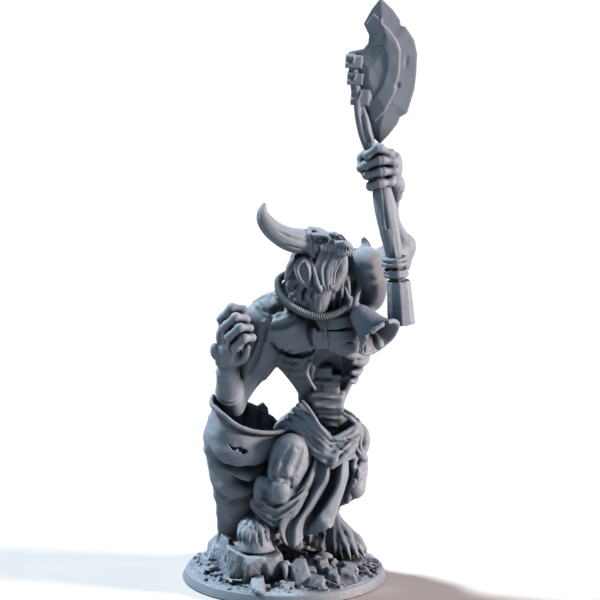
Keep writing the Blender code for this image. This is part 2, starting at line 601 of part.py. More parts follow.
def skirt_columns():
    """The skirt from beside the raised thigh, out over the left side in the wind, and round the back."""
    return (
        ((1.0, -5.6, 35.6), (-2.4, -6.4, 31.0), (-3.4, -5.6, 24.0), (-4.4, -4.4, 17.5), (-5.4, -3.6, 13.5)),
        ((-5.3, -8.0, 36.0), (-6.0, -10.0, 31.5), (-6.6, -8.2, 26.0), (-6.8, -6.6, 19.5), (-6.8, -4.8, 13.0)),
        ((-10.6, -9.0, 37.2), (-11.2, -11.0, 32.5), (-11.2, -8.8, 26.5), (-10.6, -7.4, 19.5), (-10.0, -5.0, 11.4)),
        ((-14.6, -8.0, 40.5), (-16.0, -9.0, 34.0), (-15.4, -7.4, 27.5), (-14.2, -6.0, 20.0), (-13.2, -4.2, 10.0)),
        ((-16.8, -3.0, 42.8), (-18.8, -3.4, 34.0), (-18.0, -3.0, 26.0), (-16.6, -2.4, 19.0), (-15.8, -1.4, 9.2)),
        ((-14.4, 2.6, 42.4), (-17.0, 3.2, 34.0), (-16.2, 3.6, 26.0), (-14.8, 3.4, 19.0), (-13.8, 3.4, 9.4)),
        ((-9.2, 3.6, 40.8), (-10.6, 5.6, 34.0), (-10.2, 6.6, 26.0), (-9.2, 7.0, 18.0), (-8.4, 7.4, 9.6)),
        ((-4.9, 4.6, 39.0), (-4.8, 8.0, 32.0), (-4.2, 9.4, 25.0), (-3.6, 10.0, 17.0), (-3.2, 10.4, 9.4)),
        ((0.3, 6.2, 35.2), (1.2, 9.6, 31.0), (2.0, 11.4, 24.0), (2.8, 11.4, 16.0), (3.0, 11.2, 10.0)),
        ((7.0, 8.2, 37.6), (8.0, 11.0, 32.0), (9.0, 12.2, 25.0), (9.4, 12.0, 18.0), (9.5, 11.6, 12.0)),
        ((12.6, 7.8, 37.8), (14.2, 10.6, 32.0), (15.4, 11.0, 26.0), (15.8, 10.6, 20.0), (15.8, 10.2, 14.5)),
        ((16.6, 4.6, 36.6), (18.6, 6.4, 32.6), (19.2, 6.4, 28.0), (18.8, 6.0, 23.0), (17.8, 5.6, 17.5)),
        ((17.6, 0.2, 35.6), (19.0, 0.6, 32.6), (18.6, 0.2, 28.0), (18.6, -0.2, 23.5), (17.2, -0.6, 18.6)),
        ((16.8, -3.6, 33.8), (18.2, -4.0, 30.8), (17.8, -4.4, 27.0), (17.4, -4.4, 23.5), (16.2, -4.2, 19.6)),
    )


def skirt_fold(u, v):
    """Swags hang across the front left of the skirt, and pleats run down its sides and back."""
    front = crease(max(0.0, u - 3.4), 1.2)
    swags = 0.0
    for start, tilt, height in ((0.2, 0.05, 1.1), (0.38, 0.10, 1.2), (0.54, 0.16, 1.0), (0.70, 0.10, 0.9)):
        crest = start + tilt * (1.4 - u) / 2 - 0.10 * ((u - 1.9) / 1.6) ** 2
        swags += height * crease(v - crest, 0.045)
    hollow = -0.6 * crease(v - 0.78, 0.08)
    slope = 1.5 * v + 0.4
    pleats = math.sin(5.2 * u + slope) * (0.2 + 1.1 * v) + 0.35 * math.sin(9.7 * u - 2.0 * v)
    return front * (swags + hollow) + (1 - front) * pleats * 0.8


def flap_fold(u, v):
    """Two deep valleys run down the front of the loincloth between its ridges."""
    ridges = math.cos(2 * math.pi * (u - 0.15 * math.sin(3 * v)) / 1.32)
    return -0.75 * v**0.5 * ridges


def knee_fold(u, v):
    return -0.5 * math.cos(2 * math.pi * u / 1.3 + 2.0 * v)


def front_flap_columns():
    """The torn front of the loincloth, swept under the raised knee at the left."""
    return (
        ((6.6, -7.8, 32.6), (6.4, -10.6, 25.0), (3.2, -13.6, 19.0), (-0.2, -13.4, 13.6), (0.6, -12.0, 8.8)),
        ((9.0, -8.6, 31.6), (9.0, -10.0, 24.0), (6.2, -11.4, 18.0), (3.6, -11.6, 13.4), (4.2, -11.2, 9.2)),
        ((11.4, -8.8, 31.0), (11.0, -9.0, 23.6), (9.0, -9.6, 17.6), (7.2, -9.8, 13.6), (7.6, -10.0, 9.8)),
        ((13.8, -8.4, 30.8), (12.8, -9.2, 24.0), (11.4, -10.2, 18.6), (10.6, -10.4, 14.6), (10.2, -10.0, 11.6)),
        ((15.6, -7.2, 30.6), (14.8, -8.4, 24.4), (13.6, -9.4, 19.0), (12.4, -9.8, 14.4), (11.4, -9.8, 9.8)),
    )


def knee_fold_columns():
    """The cloth that goes on from the front flap, round the shin."""
    return (
        ((5.4, -11.4, 23.0), (3.4, -13.0, 19.0), (0.4, -13.0, 13.0)),
        ((1.4, -14.2, 19.0), (0.0, -14.0, 16.4), (-1.4, -12.6, 12.6)),
        ((-2.6, -14.0, 17.0), (-3.2, -13.2, 15.4), (-3.8, -11.6, 12.8)),
        ((-6.2, -11.6, 19.0), (-6.8, -10.8, 16.6), (-6.4, -10.0, 14.4)),
        ((-8.0, -8.6, 18.4), (-8.4, -7.8, 16.2), (-8.0, -7.4, 14.4)),
    )


def belt(clay):
    """The twisted wrap round the hips, in two rolls, with its loose pointed end."""
    low_roll = (
        (-0.8, -1.6, 36.0), (1.4, -5.6, 35.4), (5.6, -8.0, 33.4), (10.4, -8.8, 31.0), (14.4, -7.8, 30.4),
        (17.0, -4.2, 32.4), (17.8, 0.8, 34.8), (15.8, 6.0, 36.6), (10.2, 8.2, 37.4), (4.0, 6.6, 37.0),
        (0.2, 3.0, 36.4), (-0.8, -1.6, 36.0),
    )
    clay.limb(*(with_radius(point, 1.6) for point in low_roll))
    high_roll = (
        (2.2, -2.0, 37.6), (4.8, -5.6, 36.6), (8.8, -7.6, 33.8), (13.2, -7.6, 33.2), (16.0, -3.8, 34.8),
        (16.2, 1.2, 36.8), (14.0, 5.6, 38.2), (9.8, 7.0, 38.6), (4.6, 5.2, 38.2), (2.2, 1.6, 38.0), (2.2, -2.0, 37.6),
    )
    clay.limb(*(with_radius(point, 1.25) for point in high_roll))
    clay.limb((10.0, -9.6, 29.6, 1.1), (13.6, -9.0, 27.0, 0.4), (16.2, -7.4, 29.6, 0.9))


def sling_rim(clay):
    """The thick rolled edge of the skirt where it hangs in front of the elbow."""
    clay.limb(
        (-16.9, -3.0, 42.6, 0.9), (-14.8, -8.0, 40.4, 1.1), (-10.6, -9.2, 37.2, 1.2), (-5.3, -8.2, 36.0, 1.2),
        (0.6, -6.0, 35.6, 1.2),
    )
    clay.limb((-16.8, -3.0, 42.6, 0.9), (-14.4, 2.6, 42.2, 0.9), (-9.2, 3.6, 40.6, 0.8), (-5.6, 4.4, 40.4, 0.6))


def hip_rags(clay):
    """The bunched rag that sticks out over the figure's left hip."""
    clay.limb((16.8, 1.0, 35.6, 1.4), (19.2, -1.4, 33.0, 1.3), (19.2, -2.4, 30.4, 1.1))
    clay.limb((19.2, -2.0, 30.8, 1.1), (16.8, -4.6, 28.6, 1.2), (17.2, -4.8, 25.4, 1.3))
    clay.limb((18.2, -2.8, 25.8, 1.5), (18.6, -2.6, 22.8, 1.5), (17.0, -3.0, 19.6, 0.9))


def sole_cutter(name, sole, radius, collection):
    """A block whose top is the flat of a sole."""
    width = 3 * radius * UNIT
    depth = 4.0 * UNIT
    cutter = bmesh.new()
    bmesh.ops.create_cube(cutter, size=1, matrix=Matrix.Diagonal((width, width, depth, 1)))
    mesh = bpy.data.meshes.new(name)
    cutter.to_mesh(mesh)
    cutter.free()
    obj = link_object(name, mesh, collection)
    obj.location = at(sole) - Vector((0, 0, depth / 2))
    hide_helper(obj)
    return obj


def keep_largest_shell(mesh):
    """Removes loose crumbs and closed inner voids from a mesh."""
    lump = bmesh.new()
    lump.from_mesh(mesh)
    unseen = set(lump.verts)
    shells = []
    while unseen:
        front = [unseen.pop()]
        shell = list(front)
        while front:
            vert = front.pop()
            for edge in vert.link_edges:
                other = edge.other_vert(vert)
                if other in unseen:
                    unseen.remove(other)
                    front.append(other)
                    shell.append(other)
        shells.append(shell)
    shells.sort(key=len)
    bmesh.ops.delete(lump, geom=[v for shell in shells[:-1] for v in shell], context="VERTS")
    lump.to_mesh(mesh)
    lump.free()


def fuse(obj):
    """Presses an object's lumps into one skin."""
    skin = obj.modifiers.new("skin", "REMESH")
    skin.mode = "VOXEL"
    skin.voxel_size = VOXEL
    return skin


def make_figure(parts, helpers, blade, material):
    trunk = Clay()
    torso(trunk)
    trunk_object = trunk.solid("trunk", helpers)
    fuse(trunk_object)
    hollow_belly(trunk_object, helpers)
    clay = Clay()
    clay.press_mesh(evaluated_mesh(trunk_object))
    bpy.data.objects.remove(trunk_object)
    for sculpt in (spine_and_ribs, bandages, right_arm, left_arm, head, rope, legs, belt, sling_rim, hip_rags, axe):
        sculpt(clay)
    bell(clay, helpers)
    cloth(clay, skirt_columns(), helpers, skirt_fold)
    cloth(clay, front_flap_columns(), helpers, flap_fold)
    cloth(clay, knee_fold_columns(), helpers, knee_fold)
    rough = clay.solid("rough_figure", helpers)
    fuse(rough)
    smooth = rough.modifiers.new("smooth", "SMOOTH")
    smooth.factor = 0.5
    smooth.iterations = SMOOTHING_STEPS
    mesh = evaluated_mesh(rough)
    bpy.data.objects.remove(rough)
    keep_largest_shell(mesh)
    figure = link_object("minotaur", mesh, parts)
    triangles = 2 * len(mesh.polygons)
    thin = figure.modifiers.new("thin", "DECIMATE")
    thin.ratio = min(1.0, FIGURE_TRIANGLES / triangles)
    for name, sole, radius in (("right", SOLE_R, HOOF_RADIUS), ("left", SOLE_L, FEATHER_RADIUS)):
        flat = figure.modifiers.new(name + "_sole", "BOOLEAN")
        flat.operation = "DIFFERENCE"
        flat.object = sole_cutter(name + "_sole_cutter", sole, radius, helpers)
    axe_blade(blade)
    forge = figure.modifiers.new("blade", "BOOLEAN")
    forge.operation = "UNION"
    forge.operand_type = "COLLECTION"
    forge.collection = blade
    figure.data.materials.append(material)
    return figure


def stone(name, corners, collection):
    """A stone: the convex hull of its corners, in metres."""
    lump = bmesh.new()
    for corner in corners:
        lump.verts.new(corner)
    hull = bmesh.ops.convex_hull(lump, input=lump.verts)
    loose = {v for v in hull["geom_interior"] if isinstance(v, bmesh.types.BMVert)}
    bmesh.ops.delete(lump, geom=list(loose), context="VERTS")
    mesh = bpy.data.meshes.new(name)
    lump.to_mesh(mesh)
    lump.free()
    obj = link_object(name, mesh, collection)
    hide_helper(obj)
    return obj


def standing_stones(collection):
    """The rock under the raised hoof, the slab beside it and the low stone under the other hoof."""
    top = at(SOLE_R).z - FIT_GAP
    foot = BASE_HEIGHT - STONE_SINK
    rock_top = ((-12.4, -9.6), (-10.6, -14.8), (-5.4, -15.8), (-1.6, -14.8), (-0.9, -11.0), (-3.0, -5.6), (-9.6, -5.2))
    rock_foot = (
        (-13.2, -9.0), (-12.4, -16.4), (-8.6, -20.4), (-2.6, -20.6), (1.4, -17.6), (0.8, -10.0), (-2.6, -3.8), (-10.4, -3.6)
    )
    corners = [(x * UNIT, y * UNIT, top) for x, y in rock_top]
    corners += [(x * UNIT, y * UNIT, foot) for x, y in rock_foot]
    stone("hoof_rock", corners, collection)
    spur = ((-9.4, -18.0, 5.2), (-5.4, -18.6, 4.6), (-8.8, -20.8, 2.0), (-4.4, -22.0, 1.6), (-5.6, -22.4, 0.2))
    deep = [(x, y, -0.6) for x, y, _ in spur]
    stone("hoof_rock_spur", [at(p) for p in (*spur, *deep)], collection)
    slab = (
        (2.6, -15.0, 5.4), (3.6, -12.6, 6.2), (5.6, -12.8, 6.0), (5.8, -15.4, 5.0), (7.6, -18.4, -0.6), (3.6, -19.6, -0.6),
        (2.2, -17.0, -0.6), (3.0, -11.8, -0.6), (6.4, -12.2, -0.6),
    )
    stone("slab", [at(p) for p in slab], collection)
    spire = (
        (-13.0, 3.0, 8.2), (-14.6, 1.6, 7.8), (-12.4, 1.4, 7.0), (-18.8, 3.0, 5.2), (-17.6, -1.0, 4.2), (-10.6, 1.0, 4.0),
        (-11.6, 6.0, 5.0), (-20.4, 4.0, -0.6), (-18.8, -3.0, -0.6), (-10.0, -1.6, -0.6), (-9.6, 7.0, -0.6),
    )
    stone("spire", [at(p) for p in spire], collection)
    low_top = at(SOLE_L).z - FIT_GAP
    x, y, _ = SOLE_L
    sides = 9
    corners = []
    for radius, height in ((FEATHER_RADIUS + 0.8, low_top), (FEATHER_RADIUS + 1.9, foot)):
        for i in range(sides):
            angle = 2 * math.pi * (i + 0.3) / sides
            reach = radius * UNIT * (1.0 + 0.06 * math.cos(3 * angle))
            corners.append((x * UNIT + reach * math.cos(angle), y * UNIT + reach * math.sin(angle), height))
    stone("low_stone", corners, collection)


def rubble(collection):
    """Loose stones, splinters and bones, kept off both hooves."""
    draw = random.Random(7)
    count = 46
    ring = BASE_DIAMETER / 2 - BASE_BEVEL
    largest = 0.0021
    keep_off = ((SOLE_L, (FEATHER_RADIUS + 1.9) * UNIT), (SOLE_R, 7.5 * UNIT))
    made = 0
    while made < count:
        reach = ring * math.sqrt(draw.uniform(0.05, 1.0))
        angle = draw.uniform(0, 2 * math.pi)
        place = Vector((reach * math.cos(angle), reach * math.sin(angle), 0))
        size = Vector((draw.uniform(0.4, 1.0), draw.uniform(0.3, 0.8), draw.uniform(0.3, 0.7))) * largest
        spin = Euler((draw.uniform(-0.5, 0.5), draw.uniform(-0.5, 0.5), draw.uniform(0, 6.3))).to_matrix()
        jitter = [draw.uniform(0.6, 1.0) for _ in range(8)]
        clear_of_hooves = all(
            (place - Vector((sole[0] * UNIT, sole[1] * UNIT, 0))).length > gap + size.x for sole, gap in keep_off
        )
        if not clear_of_hooves or reach + size.x > ring:
            continue
        place.z = BASE_HEIGHT + size.z - STONE_SINK
        signs = [(i, j, k) for i in (-1, 1) for j in (-1, 1) for k in (-1, 1)]
        corners = [
            place + spin @ Vector((i * size.x, j * size.y, k * size.z)) * share
            for (i, j, k), share in zip(signs, jitter)
        ]
        lowest = min(corner.z for corner in corners)
        floor = BASE_HEIGHT - 2 * STONE_SINK
        if lowest < floor:
            corners = [corner + Vector((0, 0, floor - lowest)) for corner in corners]
        stone(f"chip_{made}", corners, collection)
        made += 1


def make_base(parts, stones, material):
    disc = bmesh.new()
    bmesh.ops.create_cone(
        disc,
        cap_ends=True,
        segments=72,
        radius1=BASE_DIAMETER / 2,
        radius2=BASE_DIAMETER / 2 - BASE_BEVEL,
        depth=BASE_HEIGHT,
        matrix=Matrix.Translation((0, 0, BASE_HEIGHT / 2)),
    )
    mesh = bpy.data.meshes.new("base")
    disc.to_mesh(mesh)
    disc.free()
    base = link_object("base", mesh, parts)
    standing_stones(stones)
    rubble(stones)
    union = base.modifiers.new("stones", "BOOLEAN")
    union.operation = "UNION"
    union.operand_type = "COLLECTION"
    union.collection = stones
    base.data.materials.append(material)
    return base


def main():
    clear_scene()
    parts = new_collection("minotaur_miniature")
    helpers = new_collection("helpers")
    stones = new_collection("stones")
    material = resin()
    make_figure(parts, helpers, new_collection("blade"), material)
    make_base(parts, stones, material)


main()
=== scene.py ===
"""The looks of a minotaur miniature cast in matt blue-grey resin, sculpted round its CAD frame.

Forms are sculpted as signed distances on blocks of space and skinned. The thin cloth is laid out as folded
sheets. All sculpting is in figure units, about a millimetre: x to the right of the photograph, y away from
its viewer, z over the base's top.
"""

import math
import random

import bmesh
import bpy
import numpy as np
from mathutils import Matrix, Vector


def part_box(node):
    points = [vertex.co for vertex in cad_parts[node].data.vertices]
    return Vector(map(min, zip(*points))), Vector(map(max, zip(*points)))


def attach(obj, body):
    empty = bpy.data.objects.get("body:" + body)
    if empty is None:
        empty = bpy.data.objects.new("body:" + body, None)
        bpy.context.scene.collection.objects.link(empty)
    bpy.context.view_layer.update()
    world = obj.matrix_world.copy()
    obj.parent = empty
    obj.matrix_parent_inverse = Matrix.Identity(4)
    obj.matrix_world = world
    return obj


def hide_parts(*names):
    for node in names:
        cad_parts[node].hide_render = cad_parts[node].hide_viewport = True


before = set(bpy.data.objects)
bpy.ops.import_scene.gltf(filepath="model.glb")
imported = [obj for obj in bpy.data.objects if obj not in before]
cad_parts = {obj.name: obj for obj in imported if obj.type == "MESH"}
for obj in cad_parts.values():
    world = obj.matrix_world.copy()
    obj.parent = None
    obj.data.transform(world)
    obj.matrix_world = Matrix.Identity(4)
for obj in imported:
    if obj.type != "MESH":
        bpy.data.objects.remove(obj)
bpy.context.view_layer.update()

UNIT = 0.001  # metres in a figure unit
BASE_TOP = 0.0024
BASE_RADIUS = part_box("base")[1].x
BASE_BEVEL = 0.001
COARSE = 1.0
FAR = 8.0  # what a block holds where nothing has been pressed into it

# Landmarks of the pose, shared by pieces that meet.
SHOULDER_R = (-4.8, -3.0, 62.0)
ELBOW_R = (-12.3, -1.0, 41.0)
WRIST_R = (-13.6, -8.6, 51.6)
SHOULDER_L = (20.6, 2.4, 70.4)
ELBOW_L = (29.7, 12.6, 77.6)
WRIST_L = (26.8, 3.4, 92.0)
HIP_R = (5.3, -1.0, 33.3)
HOCK_R = (-5.6, -4.6, 14.6)
FETLOCK_R = (-7.2, -8.6, 12.4)
SOLE_R = (-6.8, -10.4, 7.6)
HIP_L = (14.1, 3.0, 32.0)
KNEE_L = (17.0, -2.6, 20.8)
HOCK_L = (11.8, 3.4, 14.4)
SOLE_L = (14.7, 0.2, 2.4)
HOOF_RADIUS = 4.2
ROPE_RADIUS = 0.85
SUNK = -0.8  # how deep the stones' feet lie under the base's top

# Light: where each sun stands, how many degrees it spans, its strength and its colour.
SUNS = (
    ("top", (-0.54, 0.34, 0.77), 8, 12.0, (0.90, 0.96, 1.0)),
    ("side", (0.95, -0.15, 0.27), 10, 14.0, (1.0, 0.76, 0.66)),
    ("front", (-0.20, -0.40, 0.90), 40, 1.3, (0.62, 0.82, 1.0)),
)
SKY_COLOUR = (0.7, 0.85, 1.0)
SKY_STRENGTH = 0.07
FLOOR_COLOUR = (0.26, 0.26, 0.26)
FLOOR_REACH = 3

# Camera: found from the base's outline in the photograph. Its target and distance are in metres.
CAMERA_SENSOR = 36
CAMERA_LENS = 203.7
CAMERA_TARGET = (0.00381, 0, 0.0693)
CAMERA_TILT = 12.2
CAMERA_DISTANCE = 0.819

# Resin: the two tones that lie over it in clouds, a painted highlight on its sharp rims, painted shade in its
# creases and darker painted shade deep in its recesses.
RESIN_DARK = (0.085, 0.112, 0.145)
RESIN_PALE = (0.110, 0.142, 0.180)
RESIN_EDGE_HIGHLIGHT = (0.26, 0.30, 0.34)
RESIN_CREASE_SHADE = (0.03, 0.038, 0.05)
RESIN_HOLLOW_SHADE = (0.010, 0.013, 0.018)
HOLLOW_SHADE_REACH = 0.0065  # how far off, in metres, another form still casts painted shade into a hollow


def smooth_rows(stations, steps=5):
    """Rows along a Catmull-Rom curve through some stations of any width."""
    p = np.asarray(stations, float)
    if len(p) < 3:
        steps = 1
    ends = np.vstack([p[:1], p, p[-1:]])
    t = np.linspace(0, 1, steps, endpoint=False)[:, None]
    made = []
    for i in range(len(p) - 1):
        p0, p1, p2, p3 = ends[i : i + 4]
        made.append(
            0.5 * (
                2 * p1
                + (p2 - p0) * t
                + (2 * p0 - 5 * p1 + 4 * p2 - p3) * t**2
                + (3 * p1 - p0 - 3 * p2 + p3) * t**3
            )
        )
    return np.vstack(made + [p[-1:]])


def between(a, b, share):
    return tuple(p + (q - p) * share for p, q in zip(a, b))


def turn_matrix(turn):
    """Rotation by degrees about x, y and z."""
    x, y, z = (math.radians(a) for a in turn)
    return np.array(
        (Matrix.Rotation(z, 3, "Z") @ Matrix.Rotation(y, 3, "Y") @ Matrix.Rotation(x, 3, "X")), float
    )


def soft_min(a, b, k):
    """The smaller of two distances, with the crease between them filled over a width of k."""
    if k <= 0:
        return np.minimum(a, b)
    h = np.maximum(k - np.abs(a - b), 0) / k
    return np.minimum(a, b) - h * h * (k / 4)


def lattice_noise(points, size, seed):
    """Smooth noise from -1 to 1 at some points, with lumps about this size."""
    draw = np.random.default_rng(seed)
    n = 32
    grid = draw.uniform(-1, 1, (n, n, n)).astype(np.float32)
    p = np.asarray(points, np.float32) / np.asarray(size, np.float32)
    cell = np.floor(p).astype(int)
    t = p - cell
    t = t * t * (3 - 2 * t)
    across = (1 - t, t)
    value = np.zeros(len(p), np.float32)
    for i in (0, 1):
        for j in (0, 1):
            for k in (0, 1):
                weight = across[i][:, 0] * across[j][:, 1] * across[k][:, 2]
                value += weight * grid[(cell[:, 0] + i) % n, (cell[:, 1] + j) % n, (cell[:, 2] + k) % n]
    return value


class Clay:
    """A block of space holding signed distances, into which forms are pressed and from which they are cut."""

    def __init__(self, low, high, grain):
        self.grain = grain * COARSE
        self.low = np.array(low, float)
        self.size = tuple(int(math.ceil((b - a) / self.grain)) + 1 for a, b in zip(low, high))
        self.d = np.full(self.size, FAR, np.float32)
        self.axes = [(a + self.grain * np.arange(n)).astype(np.float32) for a, n in zip(low, self.size)]

    def window(self, low, high):
        """The slices of the block between two corners."""
        cut = []
        for i in range(3):
            first = int(math.floor((low[i] - self.low[i]) / self.grain))
            last = int(math.ceil((high[i] - self.low[i]) / self.grain)) + 1
            cut.append(slice(min(max(first, 0), self.size[i]), max(min(last, self.size[i]), 0)))
        return tuple(cut)

    def places(self, cut):
        x, y, z = (axis[part] for axis, part in zip(self.axes, cut))
        return x[:, None, None], y[None, :, None], z[None, None, :]

    def merge(self, cut, near, k, away):
        if away:
            self.d[cut] = -soft_min(-self.d[cut], near, k)
        else:
            self.d[cut] = soft_min(self.d[cut], near, k)

    def ball(self, centre, radii, turn=(0, 0, 0), k=0.8, away=False):
        """An ellipsoid."""
        c, r = np.array(centre, float), np.array(radii, float)
        reach = r.max() + k + self.grain
        cut = self.window(c - reach, c + reach)
        x, y, z = (p - q for p, q in zip(self.places(cut), c.astype(np.float32)))
        m = turn_matrix(turn)
        local = [m[0, i] * x + m[1, i] * y + m[2, i] * z for i in range(3)]
        inner = np.sqrt(sum((p / q) ** 2 for p, q in zip(local, r.astype(np.float32))))
        outer = np.sqrt(sum((p / q**2) ** 2 for p, q in zip(local, r.astype(np.float32)))) + 1e-6
        self.merge(cut, inner * (inner - 1) / outer, k, away)

    def slab(self, centre, half, turn=(0, 0, 0), corner=0.2, k=0.2, away=False):
        """A block with rounded corners."""
        c, h = np.array(centre, float), np.array(half, float) - corner
        reach = np.linalg.norm(half) + k + self.grain
        cut = self.window(c - reach, c + reach)
        x, y, z = (p - q for p, q in zip(self.places(cut), c.astype(np.float32)))
        m = turn_matrix(turn)
        q = [np.abs(m[0, i] * x + m[1, i] * y + m[2, i] * z) - h[i] for i in range(3)]
        outside = np.sqrt(sum(np.maximum(p, 0) ** 2 for p in q))
        inside = np.minimum(np.maximum(np.maximum(q[0], q[1]), q[2]), 0)
        self.merge(cut, outside + inside - corner, k, away)

    def limb(self, *stations, k=0.8, steps=5, away=False, thin=None, flat=2.0):
        """A rounded run through stations of (x, y, z, radius), flat times thinner along thin."""
        rows = smooth_rows(stations, steps)
        margin = k + self.grain * 1.5
        reach = rows[:, 3:] + margin
        cut = self.window((rows[:, :3] - reach).min(0), (rows[:, :3] + reach).max(0))
        near = np.full([part.stop - part.start for part in cut], FAR, np.float32)
        if near.size == 0:
            return
        if thin is not None:
            n = np.array(thin, float)
            n = n / np.linalg.norm(n)
        for a, b in zip(rows, rows[1:]):
            bound = max(a[3], b[3]) + margin
            part = self.window(np.minimum(a, b)[:3] - bound, np.maximum(a, b)[:3] + bound)
            part = tuple(
                slice(max(p.start, q.start), max(min(p.stop, q.stop), q.start)) for p, q in zip(part, cut)
            )
            inner = tuple(slice(p.start - q.start, p.stop - q.start) for p, q in zip(part, cut))
            run = b[:3] - a[:3]
            x, y, z = (p - np.float32(q) for p, q in zip(self.places(part), a))
            if thin is not None:
                s = (x * n[0] + y * n[1] + z * n[2]) * (flat - 1)
                x, y, z = x + s * n[0], y + s * n[1], z + s * n[2]
                run = run + (run @ n) * (flat - 1) * n
            long = max(float(run @ run), 1e-9)
            t = np.clip((x * (run[0] / long) + y * (run[1] / long) + z * (run[2] / long)), 0, 1)
            away_x, away_y, away_z = x - t * run[0], y - t * run[1], z - t * run[2]
            apart = np.sqrt(away_x**2 + away_y**2 + away_z**2) - (a[3] + t * (b[3] - a[3]))
            if thin is not None:
                apart = apart / (1 + 0.5 * (flat - 1))
            near[inner] = np.minimum(near[inner], apart)
        self.merge(cut, near, k, away)

    def front(self, x, z):
        """How far back the skin lies on a line from the front at x and z."""
        i, k = (int(round((p - self.low[a]) / self.grain)) for p, a in ((x, 0), (z, 2)))
        column = self.d[min(max(i, 0), self.size[0] - 1), :, min(max(k, 0), self.size[2] - 1)]
        inside = np.flatnonzero(column < 0)
        if len(inside) == 0 or inside[0] == 0:
            return None
        j = inside[0]
        share = column[j - 1] / (column[j - 1] - column[j])
        return float(self.low[1] + self.grain * (j - 1 + share))

    def drawn(self, line, width, depth, taper=0.4):
        """Stations along a line of (x, z) points drawn on the front, with this depth of them in the skin."""
        rows = smooth_rows(line, 4)
        stations = []
        for i, (x, z) in enumerate(rows):
            y = self.front(x, z)
            if y is not None:
                share = math.sin(math.pi * (0.08 + 0.84 * i / max(len(rows) - 1, 1)))
                radius = width * (taper + (1 - taper) * share)
                stations.append((x, y - radius + depth * (taper + (1 - taper) * share), z, radius))
        return stations

    def groove(self, line, width=0.5, depth=0.35, k=0.25):
        stations = self.drawn(line, width, depth)
        if len(stations) > 1:
            self.limb(*stations, k=k, steps=1, away=True)

    def ridge(self, line, width=0.6, height=0.35, k=0.6):
        """A raised line whose crest stands this high over the skin."""
        stations = self.drawn(line, width, 2 * width - height)
        if len(stations) > 1:
            self.limb(*stations, k=k, steps=1)

    def skin(self):
        """The surface as points and quads, by surface nets, in figure units."""
        d = self.d
        inside = d < 0
        sides = [np.s_[:-1], np.s_[1:]]
        corners = [(i, j, k) for i in (0, 1) for j in (0, 1) for k in (0, 1)]
        count = np.zeros([n - 1 for n in self.size], np.uint8)
        for i, j, k in corners:
            count += inside[sides[i], sides[j], sides[k]]
        cells = np.argwhere((count > 0) & (count < 8))
        number = np.full(count.shape, -1, np.int32)
        number[tuple(cells.T)] = np.arange(len(cells))
        total = np.zeros((len(cells), 3))
        hits = np.zeros(len(cells))
        for a in corners:
            for axis in range(3):
                if a[axis]:
                    continue
                b = tuple(p + (i == axis) for i, p in enumerate(a))
                da = d[tuple((cells + a).T)].astype(float)
                db = d[tuple((cells + b).T)].astype(float)
                crossed = (da < 0) != (db < 0)
                share = np.where(crossed, da / np.where(crossed, da - db, 1), 0)
                place = np.array(a, float) + share[:, None] * (np.array(b) - np.array(a))
                total += place * crossed[:, None]
                hits += crossed
        points = self.low + (cells + total / hits[:, None]) * self.grain
        faces = []
        for axis in range(3):
            first = [np.s_[1:-1]] * 3
            second = [np.s_[1:-1]] * 3
            first[axis] = np.s_[:-1]
            second[axis] = np.s_[1:]
            lower, upper = inside[tuple(first)], inside[tuple(second)]
            u, v = (axis + 1) % 3, (axis + 2) % 3
            for entering in (True, False):
                where = np.argwhere((lower != upper) & (upper == entering))
                shift = np.ones(3, int)
                shift[axis] = 0
                where = where + shift
                step_u = np.eye(3, dtype=int)[u]
                step_v = np.eye(3, dtype=int)[v]
                ring = [where - step_u - step_v, where - step_v, where, where - step_u]
                quad = np.stack([number[tuple(r.T)] for r in ring], axis=1)
                faces.append(quad[:, ::-1] if entering else quad)
        return points, np.vstack(faces)


def to_world(points):
    """Figure units to metres in the frame."""
    return np.asarray(points, float) * UNIT + np.array((0, 0, BASE_TOP))


def make_mesh(name, points, faces):
    """A mesh object from points in metres, with faces of one size."""
    faces = np.asarray(faces, np.int32)
    mesh = bpy.data.meshes.new(name)
    mesh.vertices.add(len(points))
    mesh.vertices.foreach_set("co", np.asarray(points, np.float32).ravel())
    mesh.loops.add(faces.size)
    mesh.loops.foreach_set("vertex_index", faces.ravel())
    mesh.polygons.add(len(faces))
    mesh.polygons.foreach_set("loop_start", np.arange(0, faces.size, faces.shape[1], dtype=np.int32))
    mesh.update(calc_edges=True)
    mesh.validate()
    mesh.shade_smooth()
    obj = bpy.data.objects.new(name, mesh)
    bpy.context.scene.collection.objects.link(obj)
    return obj


def finish_piece(obj, node, material):
    """Gives a piece its resin and puts it in the place of a CAD node."""
    obj.data.materials.clear()
    obj.data.materials.append(material)
    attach(obj, "root")
    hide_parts(node)
    return obj


def point_normals(points, faces):
    """Unit normals at the points of a quad mesh."""
    a, b, c, e = (points[faces[:, i]] for i in range(4))
    flat = np.cross(c - a, e - b)
    total = np.zeros_like(points)
    for i in range(4):
        np.add.at(total, faces[:, i], flat)
    return total / (np.linalg.norm(total, axis=1, keepdims=True) + 1e-12)


def cast(clay, name, node, material, detail=None):
    """Skins a block of clay into a piece. detail(points) says how far each point stands out."""
    points, faces = clay.skin()
    if detail is not None:
        points = points + point_normals(points, faces) * detail(points)[:, None]
    return finish_piece(make_mesh(name, to_world(points), faces), node, material)


# Body


